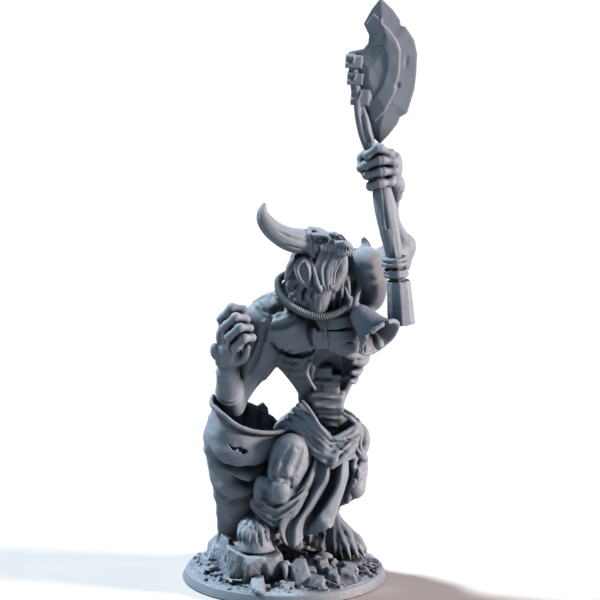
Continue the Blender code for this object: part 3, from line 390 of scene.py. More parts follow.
def press_torso(clay):
    """The chest, the belly, the flanks and the back, up to both shoulders."""
    clay.ball((9.1, 0.5, 55.5), (10.0, 7.2, 9.6), k=1.0)
    clay.ball((7.6, -0.5, 63.5), (11.4, 6.6, 6.6), k=1.5)
    clay.ball((9.9, 1.2, 34.0), (7.0, 5.8, 5.0), k=1.0)
    # The flanks.
    clay.limb(
        (-0.9, 0.5, 56.0, 3.4), (2.9, 0.4, 49.4, 2.7), (6.5, 1.4, 43.2, 2.9), (6.8, 1.5, 37.4, 3.6), k=1.6
    )
    clay.limb((17.4, 2.5, 57.0, 3.0), (15.6, 2.5, 49.4, 2.2), (12.6, 2.6, 42.8, 2.0), k=1.6)
    # The back: a long muscle on each side of the spine, a shoulder blade over it and the broad sheet below.
    for side in (-1, 1):
        clay.limb(
            (9.0 + 3.0 * side, 5.4, 63.0, 2.6), (9.8 + 2.3 * side, 5.4, 52.0, 2.3),
            (10.2 + 1.5 * side, 3.8, 43.0, 1.7),
            (10.2 + 2.4 * side, 4.2, 36.0, 2.4), k=0.9,
        )
        clay.ball((8.6 + 6.4 * side, 5.0, 63.5), (4.4, 3.0, 5.0), (0, 12 * side, 0), k=0.8)
        clay.limb((8.6 + 9.4 * side, 3.4, 58.5, 2.4), (9.2 + 6.4 * side, 4.2, 52.0, 2.0), k=0.8)
    # The slope from the neck down to both shoulders.
    clay.limb((6.0, 1.0, 70.0, 5.0), (0.0, -1.0, 66.5, 3.8), (*SHOULDER_R, 4.4), k=1.5)
    clay.limb((8.0, 1.0, 70.0, 5.0), (14.5, 1.5, 69.5, 4.6), (*SHOULDER_L, 4.0), k=1.5)


def press_breasts(clay):
    """The broad breast hung from the lowered shoulder, and the bandaged one beside it."""
    clay.ball((3.4, -5.4, 60.6), (7.0, 4.2, 4.9), (0, 8, 14), k=0.7)
    clay.limb((-3.4, -4.6, 61.6, 4.1), (2.2, -6.6, 59.6, 3.1), (6.6, -7.6, 60.0, 2.0), k=0.9)
    clay.ball((14.6, -4.6, 61.4), (5.4, 3.9, 5.2), (0, 0, -12), k=0.9)
    clay.limb((8.4, -8.0, 65.4, 1.6), (9.4, -8.6, 62.6, 1.5), (9.6, -8.4, 59.6, 1.4), k=0.8)
    # The rib edge over the open belly.
    clay.limb(
        (6.4, -8.0, 57.0, 1.0), (9.4, -8.2, 58.2, 1.3), (12.6, -7.9, 57.6, 1.5), (16.4, -6.0, 54.8, 1.5),
        k=0.9
    )


def press_right_arm(clay):
    """The lowered arm, from the round shoulder to the wrist turned up again."""
    clay.ball(SHOULDER_R, (5.3, 5.2, 5.4), (0, 20, 0), k=1.6)
    clay.limb(
        (-5.0, -2.6, 61.0, 4.7), (-6.4, -1.2, 54.4, 4.8), (-9.4, -0.4, 47.8, 3.5), (*ELBOW_R, 2.5), k=1.0
    )
    # The two heads of the upper arm's muscle.
    clay.limb((-7.6, -4.2, 58.0, 2.6), (-9.2, -3.4, 51.6, 2.6), (-10.4, -2.6, 46.0, 1.6), k=1.0)
    clay.limb((-3.4, -2.2, 56.0, 3.2), (-6.2, -0.8, 50.0, 2.5), (-9.4, -0.2, 44.8, 1.5), k=0.8)
    clay.ball(ELBOW_R, (2.6, 2.6, 2.6), k=0.8)
    clay.limb((*ELBOW_R, 2.6), (-13.0, -4.4, 45.4, 3.1), (*WRIST_R, 2.3), k=0.8)


def press_left_arm(clay):
    """The raised arm, thin and bony over the elbow."""
    clay.ball(SHOULDER_L, (4.1, 5.0, 6.8), (0, -8, 0), k=1.2)
    clay.ball((19.2, 2.8, 73.9), (4.8, 4.6, 5.7), (0, 24, 0), k=1.0)
    clay.limb((21.0, 3.6, 73.2, 4.2), (25.4, 8.2, 75.4, 3.5), (*ELBOW_L, 2.4), k=0.9)
    clay.ball((29.6, 12.4, 77.8), (2.3, 2.6, 3.2), (0, -10, 0), k=0.8)
    clay.limb((29.5, 12.0, 76.4, 2.1), (28.8, 11.0, 73.2, 2.0), k=0.8)
    # The forearm's two bones under thin skin.
    clay.limb((*ELBOW_L, 1.9), (26.4, 8.0, 85.2, 1.5), (26.8, 3.4, 92.0, 1.2), k=0.7)
    clay.limb((28.6, 11.6, 79.0, 1.7), (25.3, 7.6, 85.4, 1.2), (25.7, 3.2, 92.2, 1.0), k=0.5)
    # The muscle under the raised arm, down to the ribs.
    clay.limb((18.6, 4.0, 66.0, 3.4), (17.4, 3.6, 59.0, 3.0), k=1.2)
    clay.limb((20.4, 0.6, 66.0, 1.8), (18.6, -1.4, 60.4, 1.6), (17.4, -1.6, 56.6, 1.2), k=0.6)


def carve_belly(clay):
    """The torn belly, with the loop of skin at its left."""
    clay.ball((11.6, -5.6, 47.4), (5.0, 6.0, 7.6), (0, 6, 0), k=0.35, away=True)
    clay.ball((10.8, -6.2, 53.4), (4.0, 3.4, 3.4), k=0.4, away=True)
    clay.ball((15.6, -4.4, 50.6), (3.4, 4.4, 3.6), k=0.4, away=True)
    clay.limb(
        (6.2, -6.8, 53.0, 0.45), (5.4, -6.4, 50.6, 0.5), (6.2, -5.8, 48.2, 0.45), (7.4, -5.4, 46.2, 0.4),
        k=0.3
    )


def press_spine(clay):
    """Blocky vertebrae over the flat bony rings of the waist."""
    joints = (
        (9.4, -0.4, 50.0, 2.3, 1.7), (10.3, -0.6, 46.4, 3.2, 1.8), (10.2, -1.0, 43.3, 4.3, 1.4),
        (10.5, -1.6, 40.9, 3.9, 1.5), (11.0, -1.6, 38.2, 3.3, 1.3), (11.4, -1.4, 36.2, 2.1, 1.0),
        (11.8, -1.0, 34.6, 1.8, 0.9),
    )
    for x, y, z, wide, tall in joints:
        clay.slab((x, y, z), (wide, 2.7, tall), (8, 3, 0), corner=0.8, k=0.25)
        clay.limb(
            (x - wide * 0.8, y - 2.2, z + 0.4, 0.4), (x, y - 2.9, z + 0.5, 0.45),
            (x + wide * 0.8, y - 2.2, z + 0.3, 0.4), k=0.3
        )
    clay.limb((10.6, 1.0, 54.0, 2.0), (10.6, 1.6, 42.0, 1.8), (11.6, 1.2, 33.0, 2.0), k=0.6)
    clay.limb((-5.0, 0.0, 47.7, 0.8), (-2.4, 0.0, 51.2, 0.9), k=0.5)
    clay.limb((-1.2, 0.0, 51.2, 0.9), (3.9, 0.0, 45.2, 0.8), k=0.5)
    clay.ball((-1.7, 0.0, 53.8), (2.4, 2.4, 3.0), k=0.8)
    clay.limb((-7.0, 1.0, 65.9, 0.8), (-5.4, 1.0, 66.9, 0.8), (-3.2, 1.0, 67.9, 0.8), k=0.6)
    clay.limb((4.6, -0.6, 45.2, 0.9), (4.2, -0.6, 42.6, 0.9), (4.6, -0.8, 40.6, 0.8), k=0.6)
    clay.limb((17.3, 0.6, 49.6, 1.0), (15.3, 0.4, 45.4, 0.95), (13.6, 0.0, 41.6, 0.9), k=0.7)
    clay.slab((12.6, -1.6, 48.4), (1.3, 1.3, 0.7), (0, -8, 0), corner=0.3, k=0.3)
    clay.slab((8.3, -3.2, 45.8), (1.1, 0.6, 0.9), corner=0.3, k=0.2, away=True)


def press_ribs(clay):
    """The lowest ribs, broken off short at the figure's left."""
    for ends in (
        ((16.7, -6.0, 52.9, 0.7), (18.8, -4.0, 52.6, 1.25), (19.4, 1.0, 53.2, 1.1), (15.0, 5.2, 54.6, 0.9)),
        ((16.4, -5.8, 50.3, 0.6), (17.7, -3.8, 50.0, 1.05), (18.0, 1.0, 50.8, 1.0), (14.4, 5.0, 52.2, 0.9)),
        ((16.0, -5.4, 48.1, 0.5), (16.9, -3.4, 47.8, 0.9), (17.0, 1.0, 48.6, 0.9), (13.6, 4.6, 50.0, 0.8)),
    ):
        clay.limb(*ends, k=0.25)


def score_body(clay):
    """Folds of dry skin that run from the rope to the shoulder, under the arm and over the flank."""
    for line, width, height in (
        (((-6.6, 67.0), (-3.4, 65.0), (0.6, 64.6), (3.4, 65.4)), 1.0, 0.8),
        (((-4.6, 63.2), (-1.6, 63.2), (1.4, 64.6)), 0.9, 0.7),
        (((-2.4, 68.4), (-1.4, 66.8), (0.8, 65.6)), 0.7, 0.6),
        (((-1.6, 57.4), (1.2, 55.8), (4.0, 56.2), (6.2, 57.6)), 0.7, 0.5),
    ):
        clay.ridge(line, width, height, k=0.7)
    for line, width, depth in (
        (((-7.0, 67.6), (-4.4, 68.2), (-1.6, 68.8)), 0.5, 0.9),
        (((-4.6, 66.2), (-2.8, 65.8), (-1.2, 66.0)), 1.0, 0.9),
        (((-3.4, 61.8), (-0.6, 62.4), (2.4, 63.6)), 0.7, 0.8),
        (((-3.0, 57.8), (1.4, 54.6), (5.4, 55.2), (7.4, 56.6)), 0.9, 1.3),
        (((6.8, 64.0), (6.2, 61.0), (6.8, 58.4)), 0.7, 0.6),
        (((-7.6, 62.6), (-7.0, 58.6), (-8.2, 54.6)), 0.5, 0.6),
        (((-5.2, 58.4), (-6.6, 53.6), (-8.4, 49.6)), 0.5, 0.7),
        (((-2.6, 65.0), (-4.6, 61.6), (-5.0, 58.6)), 0.7, 0.8),
        (((-10.6, 49.6), (-10.4, 46.8), (-11.2, 44.2)), 0.4, 0.5),
    ):
        clay.groove(line, width, depth, k=0.5)
    for i in range(4):
        x, z = -1.6 + 0.7 * i, 56.2 - 2.1 * i
        clay.ridge(((x, z), (x + 2.0, z - 0.9), (x + 4.2, z - 0.6)), 0.7, 0.3, k=0.5)
        clay.groove(((x + 0.2, z - 1.0), (x + 2.2, z - 1.9), (x + 4.4, z - 1.5)), 0.45, 0.35, k=0.5)


def bandage(clay, path, half_width, half_thick, k=0.12):
    """A flat strip laid along a path, wide across it in height and thin from front to back."""
    rows = smooth_rows(path, 4)
    for a, b in zip(rows, rows[1:]):
        middle = (a + b) / 2
        run = b - a
        yaw = math.degrees(math.atan2(run[1], run[0]))
        pitch = -math.degrees(math.atan2(run[2], math.hypot(run[0], run[1])))
        half = (np.linalg.norm(run) / 2 + half_thick * 0.6, half_thick, half_width)
        clay.slab(middle, half, (0, pitch, yaw), corner=min(half_thick, half_width) * 0.45, k=k)


def press_bandages(clay):
    """Strips across the figure's left breast, and the knotted strap that ties them."""
    strips = (
        (((9.6, -9.6, 63.3), (12.8, -9.7, 63.4), (16.2, -8.2, 64.0), (19.8, -4.2, 64.8)), 1.5),
        (((9.8, -9.6, 60.3), (13.2, -9.6, 60.1), (16.8, -8.0, 60.2), (19.9, -4.0, 60.4)), 1.35),
        (((10.4, -9.5, 58.2), (13.4, -9.3, 57.6), (17.0, -7.4, 57.0), (19.7, -3.4, 56.6)), 1.15),
        (((11.2, -9.0, 57.0), (13.6, -8.6, 56.0), (16.8, -6.8, 54.9), (19.4, -3.0, 54.0)), 0.6),
    )
    for path, half_width in strips:
        bandage(clay, path, half_width, 0.55)
        low = [(x, y - 0.45, z - half_width * 0.85, 0.2) for x, y, z in path]
        clay.limb(*low, k=0.15)
    clay.limb((9.5, -10.3, 65.2, 0.35), (9.8, -10.6, 62.6, 0.35), (9.9, -10.5, 60.0, 0.4), k=0.2)
    # The H-shaped tab of the strap.
    clay.slab((8.7, -9.9, 60.1), (1.35, 0.55, 1.5), (0, 4, 6), corner=0.25, k=0.2)
    clay.limb((7.3, -10.1, 62.0, 0.45), (7.2, -10.3, 60.0, 0.5), (7.4, -10.1, 58.4, 0.5), k=0.2)
    clay.limb((10.0, -10.2, 59.4, 0.55), (10.1, -10.1, 57.9, 0.5), k=0.2)
    clay.slab((8.9, -9.9, 58.0), (1.2, 0.45, 0.55), (0, 10, 4), corner=0.2, k=0.2)
    clay.groove(((7.7, 59.6), (9.4, 59.9)), 0.22, 0.25, k=0.1)


def press_bracer(clay):
    """The plated bracer, with a raised rim that comes round below it in a U."""
    clay.limb((-13.2, -4.8, 45.8, 3.2), (-13.5, -7.8, 50.4, 2.75), k=0.3)
    for rise, radius in ((0.0, 3.1), (1.0, 2.9)):
        ring = []
        for i in range(13):
            angle = 2 * math.pi * i / 12
            dip = 0.6 * math.cos(angle)
            ring.append((
                -13.25 + radius * math.sin(angle), -4.4 - 0.6 * rise - radius * 0.8 * math.cos(angle),
                45.2 + rise - 2.0 * math.cos(angle) - dip, 0.42,
            ))
        clay.limb(*ring, k=0.25, steps=2)
    for x in (-15.4, -14.4, -13.2, -11.8):
        clay.limb((x, -8.4, 50.6, 0.3), (x + 0.1, -7.6, 46.4, 0.35), (x + 0.3, -6.6, 44.2, 0.3), k=0.3)
    clay.ball((-13.5, -8.5, 51.2), (3.0, 2.6, 0.7), (35, 0, 0), k=0.3)


def body_detail(points):
    """Fine wrinkles and pores of dry skin."""
    soft = lattice_noise(points, 1.6, 3) * 0.05
    fine = lattice_noise(points, (0.5, 0.5, 0.9), 4) * 0.02
    return soft + fine


def make_body(material):
    clay = Clay((-20, -14, 30), (35.5, 18, 95), grain=0.32)
    press_torso(clay)
    press_breasts(clay)
    press_right_arm(clay)
    press_left_arm(clay)
    carve_belly(clay)
    score_body(clay)
    press_spine(clay)
    press_ribs(clay)
    press_bandages(clay)
    press_bracer(clay)
    return cast(clay, "body", "minotaur", material, body_detail)


# Hands


def bone(clay, a, b, end, waist, k=0.12):
    """A finger bone: narrow in its middle, with a squared knuckle at both ends."""
    clay.limb(
        (*a, end), (*between(a, b, 0.28), waist), (*between(a, b, 0.72), waist), (*b, end), k=k, steps=3,
    )


def make_right_hand(material):
    """The half-closed fist turned up in front of the shoulder."""
    clay = Clay((-18.5, -17, 49), (-6, -4, 69), grain=0.18)
    clay.limb((*WRIST_R, 2.2), (-13.2, -9.4, 54.6, 2.1), k=0.4)
    clay.ball((-12.7, -10.0, 57.0), (2.9, 1.9, 4.0), (-10, 14, 0), k=0.8)
    clay.ball((-16.3, -9.6, 56.3), (1.35, 1.3, 2.2), (0, -12, 0), k=0.5)
    clay.ball((-15.2, -9.4, 60.0), (1.1, 1.2, 2.2), k=0.5)
    clay.ball((-15.0, -9.0, 53.6), (1.5, 1.4, 1.4), k=0.5)
    fingers = (
        ((-14.9, -9.4, 64.2), (-12.4, -9.8, 67.2), (-9.8, -9.2, 66.6)),
        ((-14.2, -11.3, 62.6), (-11.4, -12.2, 65.4), (-9.0, -11.2, 64.6)),
        ((-13.1, -12.4, 60.5), (-10.4, -13.6, 63.2), (-8.2, -12.2, 62.7)),
        ((-11.5, -12.9, 58.1), (-9.4, -14.1, 60.7), (-7.6, -12.7, 60.5)),
    )
    for i, (knuckle, joint, tip) in enumerate(fingers):
        # A tendon runs to each knuckle over the back of the hand.
        heel = (-14.6 + 0.6 * i, -9.6 - 0.4 * i, 54.6)
        clay.limb((*heel, 0.55), (*between(heel, knuckle, 0.5), 0.6), (*knuckle, 0.9), k=0.45)
        clay.ball(knuckle, (1.25, 1.15, 1.15), k=0.2)
        bone(clay, between(knuckle, joint, 0.22), between(knuckle, joint, 0.92), 1.25, 1.08)
        clay.ball(between(knuckle, joint, 0.2), (1.2, 0.35, 1.2), (0, 45, 0), k=0.1)
        clay.limb((*joint, 1.15), (*between(joint, tip, 0.5), 0.95), (*tip, 1.05), k=0.1)
        back = between(tip, (-10.2, -9.6, 59.6), 0.7)
        clay.limb((*tip, 0.95), (*back, 0.8), k=0.2)
    clay.ball((-11.2, -9.6, 61.6), (2.6, 1.8, 4.4), (0, 20, 0), k=0.4)
    clay.ball((-11.8, -9.4, 64.4), (2.0, 1.4, 2.0), k=0.4)
    clay.limb((-12.2, -9.4, 53.8, 1.3), (-9.6, -11.0, 55.0, 1.0), (-8.7, -12.2, 58.0, 0.75), k=0.4)
    for z, x in ((53.0, -14.2), (52.2, -12.2)):
        clay.groove(((x - 2.2, z), (x, z - 0.5), (x + 2.2, z)), 0.3, 0.25, k=0.2)
    return cast(clay, "right_hand", "minotaur", material)


def make_left_hand(material):
    """The fist round the axe's handle: four rows of bare finger bones and the thumb behind them."""
    clay = Clay((16.2, -8.5, 90), (30.5, 7.5, 107), grain=0.185)
    clay.limb((*WRIST_L, 1.7), (26.7, 0.6, 95.4, 2.0), k=0.5)
    clay.ball((26.4, -0.2, 98.6), (1.9, 2.7, 4.6), (0, 6, 0), k=0.6)
    clay.ball((27.8, 1.6, 95.0), (1.2, 1.4, 2.2), (0, -10, 0), k=0.5)
    clay.ball((27.3, 0.8, 99.4), (0.9, 1.4, 2.6), (0, -6, 0), k=0.4)
    rows = (
        ((19.8, 103.0), (22.4, 105.3), (25.2, 103.4)),
        ((19.3, 100.6), (23.0, 102.2), (26.1, 101.5)),
        ((19.7, 98.3), (23.2, 99.4), (26.4, 99.2)),
        ((20.6, 95.6), (22.9, 96.6), (25.6, 96.6)),
    )
    clay.limb((22.0, -3.4, 103.4, 1.5), (22.9, -3.6, 96.4, 1.6), k=0.2)
    clay.limb((25.2, -3.0, 102.6, 1.4), (25.4, -3.0, 96.6, 1.4), k=0.2)
    clay.limb((20.8, -3.4, 102.4, 1.3), (21.4, -3.6, 96.4, 1.3), k=0.2)
    for (tip_x, tip_z), (joint_x, joint_z), (knuckle_x, knuckle_z) in rows:
        knuckle = (knuckle_x - 0.2, -4.3, knuckle_z)
        joint = (joint_x, -5.9, joint_z)
        tip = (tip_x, -4.6, tip_z)
        clay.limb(
            (knuckle_x + 0.5, 0.6, knuckle_z - 0.5, 0.9), (knuckle_x + 0.4, -2.4, knuckle_z - 0.1, 0.8),
            (*knuckle, 1.1), k=0.3
        )
        bone(clay, between(knuckle, joint, 0.04), between(knuckle, joint, 0.84), 1.22, 0.98)
        bone(clay, between(joint, tip, 0.1), between(joint, tip, 0.96), 1.24, 0.98)
        clay.limb(
            (*tip, 1.1), (tip_x + 0.2, -2.6, tip_z - 0.4, 0.9), (tip_x + 1.2, -1.2, tip_z - 0.4, 0.8), k=0.2
        )
    clay.limb((24.6, 0.6, 102.2, 1.15), (21.2, -0.8, 103.6, 1.05), (18.4, -2.2, 102.2, 1.05), k=0.3)
    bone(clay, (18.4, -2.4, 101.8), (18.3, -3.6, 99.8), 1.1, 0.9)
    clay.limb((18.4, -3.4, 99.6, 0.8), (19.2, -3.4, 98.4, 0.8), k=0.2)
    for z in (93.4, 94.4):
        clay.groove(((25.2, z), (27.0, z - 0.4), (28.6, z)), 0.25, 0.2, k=0.2)
    return cast(clay, "left_hand", "minotaur", material)


# Head


def press_skull(clay):
    """The skull, from its round back to the bare snout, and the cheek below the eye."""
    clay.limb((6.6, -4.6, 80.4, 3.8), (7.4, -6.6, 82.2, 3.9), k=0.6)
    clay.limb((7.6, -7.0, 82.0, 3.2), (11.2, -8.9, 82.4, 2.5), (13.8, -10.1, 82.0, 2.0), k=0.6)
    clay.slab((13.8, -10.3, 82.0), (2.2, 1.7, 1.6), (0, 24, -30), corner=1.0, k=0.5)
    # The flat roof of the snout, the brow that overhangs the eye, and its row of small lumps.
    clay.slab((10.6, -8.4, 84.4), (3.0, 1.3, 0.7), (0, 3, -28), corner=0.5, k=0.5)
    clay.limb(
        (5.6, -8.6, 84.2, 0.75), (7.6, -9.9, 84.6, 0.8), (9.8, -10.7, 84.5, 0.65), (11.0, -10.9, 84.0, 0.4),
        k=0.25
    )
    for i in range(5):
        share = i / 4
        clay.ball((6.6 + 3.4 * share, -9.8 - 1.1 * share, 84.9 - 0.2 * share), (0.42, 0.4, 0.4), k=0.1)
    clay.ball((11.9, -10.0, 84.9), (1.3, 0.9, 0.8), (0, 10, -25), k=0.3)
    # The cheek: a plate that hangs to a point, hollow behind it.
    clay.slab((6.6, -8.7, 81.0), (1.6, 1.0, 1.5), (0, 24, -20), corner=0.5, k=0.3)
    clay.limb((5.6, -8.9, 81.6, 1.0), (6.8, -9.8, 80.2, 0.7), (7.6, -10.1, 79.2, 0.25), k=0.25)
    clay.ball((8.9, -10.8, 80.5), (0.9, 0.9, 1.3), (0, 20, 0), k=0.3, away=True)
    clay.limb((8.0, -10.2, 82.3, 0.6), (10.2, -11.1, 82.5, 0.6), (12.2, -11.5, 82.4, 0.5), k=0.3)


def carve_eye(clay):
    """A sunk eye in two slanted rings, with a tear line below it."""
    centre = np.array((8.9, -10.6, 83.7))
    tilt = math.radians(14)
    clay.ball(centre + (0, -0.5, 0), (1.9, 1.1, 1.05), (0, -14, -24), k=0.15, away=True)
    for wide, tall, radius, deep in ((1.95, 1.1, 0.3, -0.25), (1.25, 0.62, 0.22, 0.2)):
        ring = []
        for i in range(17):
            angle = 2 * math.pi * i / 16
            a, b = wide * math.cos(angle), tall * math.sin(angle)
            x = a * math.cos(tilt) - b * math.sin(tilt)
            z = a * math.sin(tilt) + b * math.cos(tilt)
            ring.append((centre[0] + x, centre[1] + deep - 0.38 * x, centre[2] + z, radius))
        clay.limb(*ring, k=0.12, steps=1)
    clay.ball(centre + (-0.1, 0.35, 0), (0.75, 0.6, 0.42), (0, -14, -24), k=0.1)
    clay.groove(((8.0, 82.6), (8.6, 81.9), (10.0, 82.0)), 0.2, 0.3, k=0.1)
    clay.groove(((10.6, 84.5), (11.0, 83.6), (10.7, 82.9)), 0.22, 0.4, k=0.1)
    clay.groove(((11.6, 84.6), (11.3, 83.9), (11.8, 83.3), (11.5, 82.8)), 0.18, 0.35, k=0.1)


def carve_muzzle(clay):
    """The nostril, the grooved lip and the teeth under it."""
    clay.ball((13.6, -11.3, 84.5), (0.9, 1.2, 0.55), (0, 20, -20), k=0.15, away=True)
    clay.limb((12.6, -11.0, 84.8, 0.3), (13.5, -11.0, 85.0, 0.3), (14.5, -11.2, 84.0, 0.28), k=0.15)
    clay.limb((12.7, -11.6, 83.2, 0.55), (14.1, -12.1, 83.2, 0.75), (15.4, -12.0, 82.3, 0.7), k=0.3)
    for i in range(5):
        x = 12.8 + 0.72 * i
        clay.groove(((x, 82.9 - 0.12 * i), (x + 0.15, 82.0), (x + 0.1, 81.0)), 0.18, 0.28, k=0.1)
    for i in range(7):
        x = 12.8 + 0.56 * i
        y = -11.9 - 0.1 * i + 0.03 * i * i
        clay.limb(
            (x, y + 0.2, 81.8, 0.4), (x + 0.05, y, 80.9, 0.34), (x + 0.1, y, 80.1 - 0.15 * (i % 2), 0.14),
            k=0.08
        )
    for i in range(4):
        x = 9.2 + 0.75 * i
        clay.limb(
            (x, -11.0 - 0.12 * i, 82.6, 0.5), (x - 0.1, -11.6, 81.9, 0.46), (x - 0.2, -11.5, 80.9, 0.2),
            k=0.08
        )
    # The far side of the snout, plainer.
    clay.limb((15.6, -9.4, 81.6, 0.8), (13.2, -7.6, 81.4, 0.9), (10.8, -6.4, 81.4, 0.9), k=0.3)


def press_jaw(clay):
    """The wide-open mouth: strands of cheek hang from the teeth to the lower jaw, torn in front."""
    clay.limb((5.4, -8.0, 78.6, 1.5), (7.4, -10.0, 74.6, 1.4), (9.2, -10.8, 72.4, 1.1), k=0.6)
    clay.limb((9.4, -8.8, 79.8, 1.4), (8.8, -9.0, 76.0, 1.3), (9.4, -9.8, 73.0, 0.9), k=0.5)
    clay.limb((12.6, -8.6, 80.4, 1.5), (11.2, -8.8, 76.4, 1.2), (10.8, -9.8, 73.0, 0.7), k=0.5)
    draw = random.Random(5)
    strands = 18
    for i in range(strands):
        share = i / (strands - 1)
        thick = 0.27 + 0.13 * draw.random()
        depth = 0.45 * draw.random()
        if i in (4, 8, 13):
            continue  # a slit between the strands
        top = np.array(between((8.9, -10.6, 81.2), (14.5, -10.9, 80.6), share))
        middle = np.array(between((7.4, -11.3, 76.6), (12.3, -11.0, 76.6), share)) + (0, depth, 0)
        low = np.array(between((8.5, -12.0, 72.6), (11.6, -11.8, 72.4), share)) + (0, depth, 0)
        clay.limb((*top, thick), (*middle, thick * 1.15), (*low, thick * 0.9), k=0.06, steps=6)
    for i in range(4):
        x = 8.8 + 0.8 * i
        clay.limb(
            (x, -11.9, 72.8, 0.4), (x + 0.2, -12.0, 72.0, 0.34), (x + 0.2, -11.8, 71.4 + 0.2 * (i % 2), 0.12),
            k=0.1
        )
    clay.limb((11.4, -11.8, 72.6, 0.45), (12.3, -12.0, 71.9, 0.35), (12.7, -11.9, 72.9, 0.12), k=0.1)
    # The band of skin from behind the cheek down to the chin, and the small end of the jaw.
    clay.limb(
        (6.4, -10.0, 79.0, 0.6), (7.2, -11.4, 76.0, 0.55), (8.0, -12.2, 73.4, 0.55), (8.8, -12.2, 71.8, 0.4),
        k=0.15
    )
    # Inside the mouth.
    clay.limb((13.4, -6.6, 79.6, 1.8), (13.0, -5.6, 75.0, 2.2), (11.4, -7.0, 71.6, 2.0), k=0.6)


def press_ear(clay):
    """The leaf-shaped ear that hangs beside the jaw, hollow inside its rim."""
    clay.limb(
        (4.8, -9.0, 79.2, 0.8), (4.5, -10.1, 77.2, 2.1), (5.0, -10.7, 74.8, 1.9), (5.8, -10.8, 72.6, 0.6),
        k=0.2
    )
    clay.limb(
        (4.7, -11.6, 78.2, 0.4), (4.5, -12.5, 76.8, 1.3), (4.9, -12.9, 75.0, 1.2), (5.5, -12.3, 73.6, 0.4),
        k=0.15, away=True
    )
    clay.limb(
        (3.2, -7.6, 79.0, 0.8), (2.0, -8.0, 77.0, 1.3), (0.9, -7.6, 74.4, 0.8), (0.4, -7.2, 73.2, 0.3), k=0.2
    )
    clay.limb((2.4, -9.4, 78.0, 0.3), (1.6, -9.5, 76.6, 0.6), (0.9, -9.2, 75.2, 0.3), k=0.15, away=True)


def make_head(material):
    clay = Clay((-1, -14.5, 70.5), (18.5, -1, 87.5), grain=0.16)
    press_skull(clay)
    carve_eye(clay)
    press_jaw(clay)
    carve_muzzle(clay)
    press_ear(clay)
    return cast(clay, "head", "minotaur", material, head_detail)


def head_detail(points):
    """Pitted bone, with fibres down the strands."""
    pits = lattice_noise(points, 0.7, 11)
    strands = (points[:, 2] < 80.6) & (points[:, 1] < -9.5)
    fibre = lattice_noise(points, (0.24, 0.3, 2.6), 12)
    return np.where(strands, 0.07 * fibre, 0.05 * pits)


def along_rows(points, rows):
    """For each point, how far along a run of rows it lies and its turn about it."""
    lengths = np.concatenate([[0], np.cumsum(np.linalg.norm(np.diff(rows[:, :3], axis=0), axis=1))])
    best = np.full(len(points), 1e9)
    along = np.zeros(len(points))
    turn = np.zeros(len(points))
    for i, (a, b) in enumerate(zip(rows[:, :3], rows[1:, :3])):
        run = b - a
        t = np.clip(((points - a) @ run) / (run @ run), 0, 1)
        off = points - a - t[:, None] * run
        apart = np.linalg.norm(off, axis=1)
        closer = apart < best
        best = np.where(closer, apart, best)
        along = np.where(closer, lengths[i] + t * np.linalg.norm(run), along)
        side = np.cross(run, (0.3, 0.8, 0.52))
        side = side / np.linalg.norm(side)
        up = np.cross(side, run / np.linalg.norm(run))
        turn = np.where(closer, np.arctan2(off @ up, off @ side), turn)
    return along, turn


NEAR_HORN = (
    (6.4, -6.8, 82.6, 3.0), (4.6, -7.8, 82.8, 3.0), (1.4, -9.4, 83.7, 2.9), (-2.0, -11.0, 85.8, 2.4),
    (-4.3, -11.7, 88.3, 1.95), (-5.1, -11.7, 90.3, 1.3), (-4.8, -11.2, 91.9, 0.7), (-4.6, -11.0, 92.5, 0.4),
)
FAR_HORN = (
    (9.6, -1.6, 80.6, 2.6), (13.4, 2.2, 78.2, 2.3), (16.8, 5.6, 76.6, 1.9), (19.2, 8.4, 76.6, 1.8),
    (19.8, 9.8, 78.0, 1.3), (19.3, 10.2, 79.8, 0.6),
)


def make_horns(material):
    """Two long horns, ridged along their length and cracked at the root."""
    for name, rows in (("near_horn", NEAR_HORN), ("far_horn", FAR_HORN)):
        p = np.array(rows)
        clay = Clay(p[:, :3].min(0) - 4, p[:, :3].max(0) + 4, grain=0.23)
        clay.limb(*rows, k=0.1, steps=6)
        if name == "near_horn":
            clay.groove(((5.2, 81.2), (3.0, 82.0), (0.2, 83.0)), 0.3, 0.3, k=0.15)
            clay.groove(((4.8, 83.8), (2.0, 84.6), (-1.2, 86.2)), 0.35, 0.25, k=0.2)
            for x, z in ((5.2, 85.0), (5.7, 84.0), (5.5, 82.4), (5.0, 80.8)):
                clay.groove(((x, z), (x - 0.3, z - 0.6)), 0.25, 0.4, k=0.1)
            ring = [
                (
                    6.3 + 0.2 * math.cos(i), -7.6 + 2.7 * math.sin(i * math.pi / 5),
                    82.7 + 3.1 * math.cos(i * math.pi / 5), 0.55
                )
                for i in range(11)
            ]
            clay.limb(*ring, k=0.25, steps=3)
            clay.limb((6.0, -8.0, 85.6, 0.6), (7.4, -8.6, 85.7, 0.5), k=0.3)
        run = smooth_rows(rows, 6)

        def ridges(points):
            along, turn = along_rows(points, run)
            ring = np.column_stack([np.cos(turn) * 2.2, np.sin(turn) * 2.2, along * 0.14])
            fade = np.clip(1.1 - along / (along.max() + 1e-6), 0.1, 1)
            return (
                lattice_noise(ring, (0.55, 0.55, 0.55), 21) * 0.16
                + lattice_noise(ring, (0.2, 0.2, 0.3), 22) * 0.06
            ) * fade

        cast(clay, name, "minotaur", material, ridges)


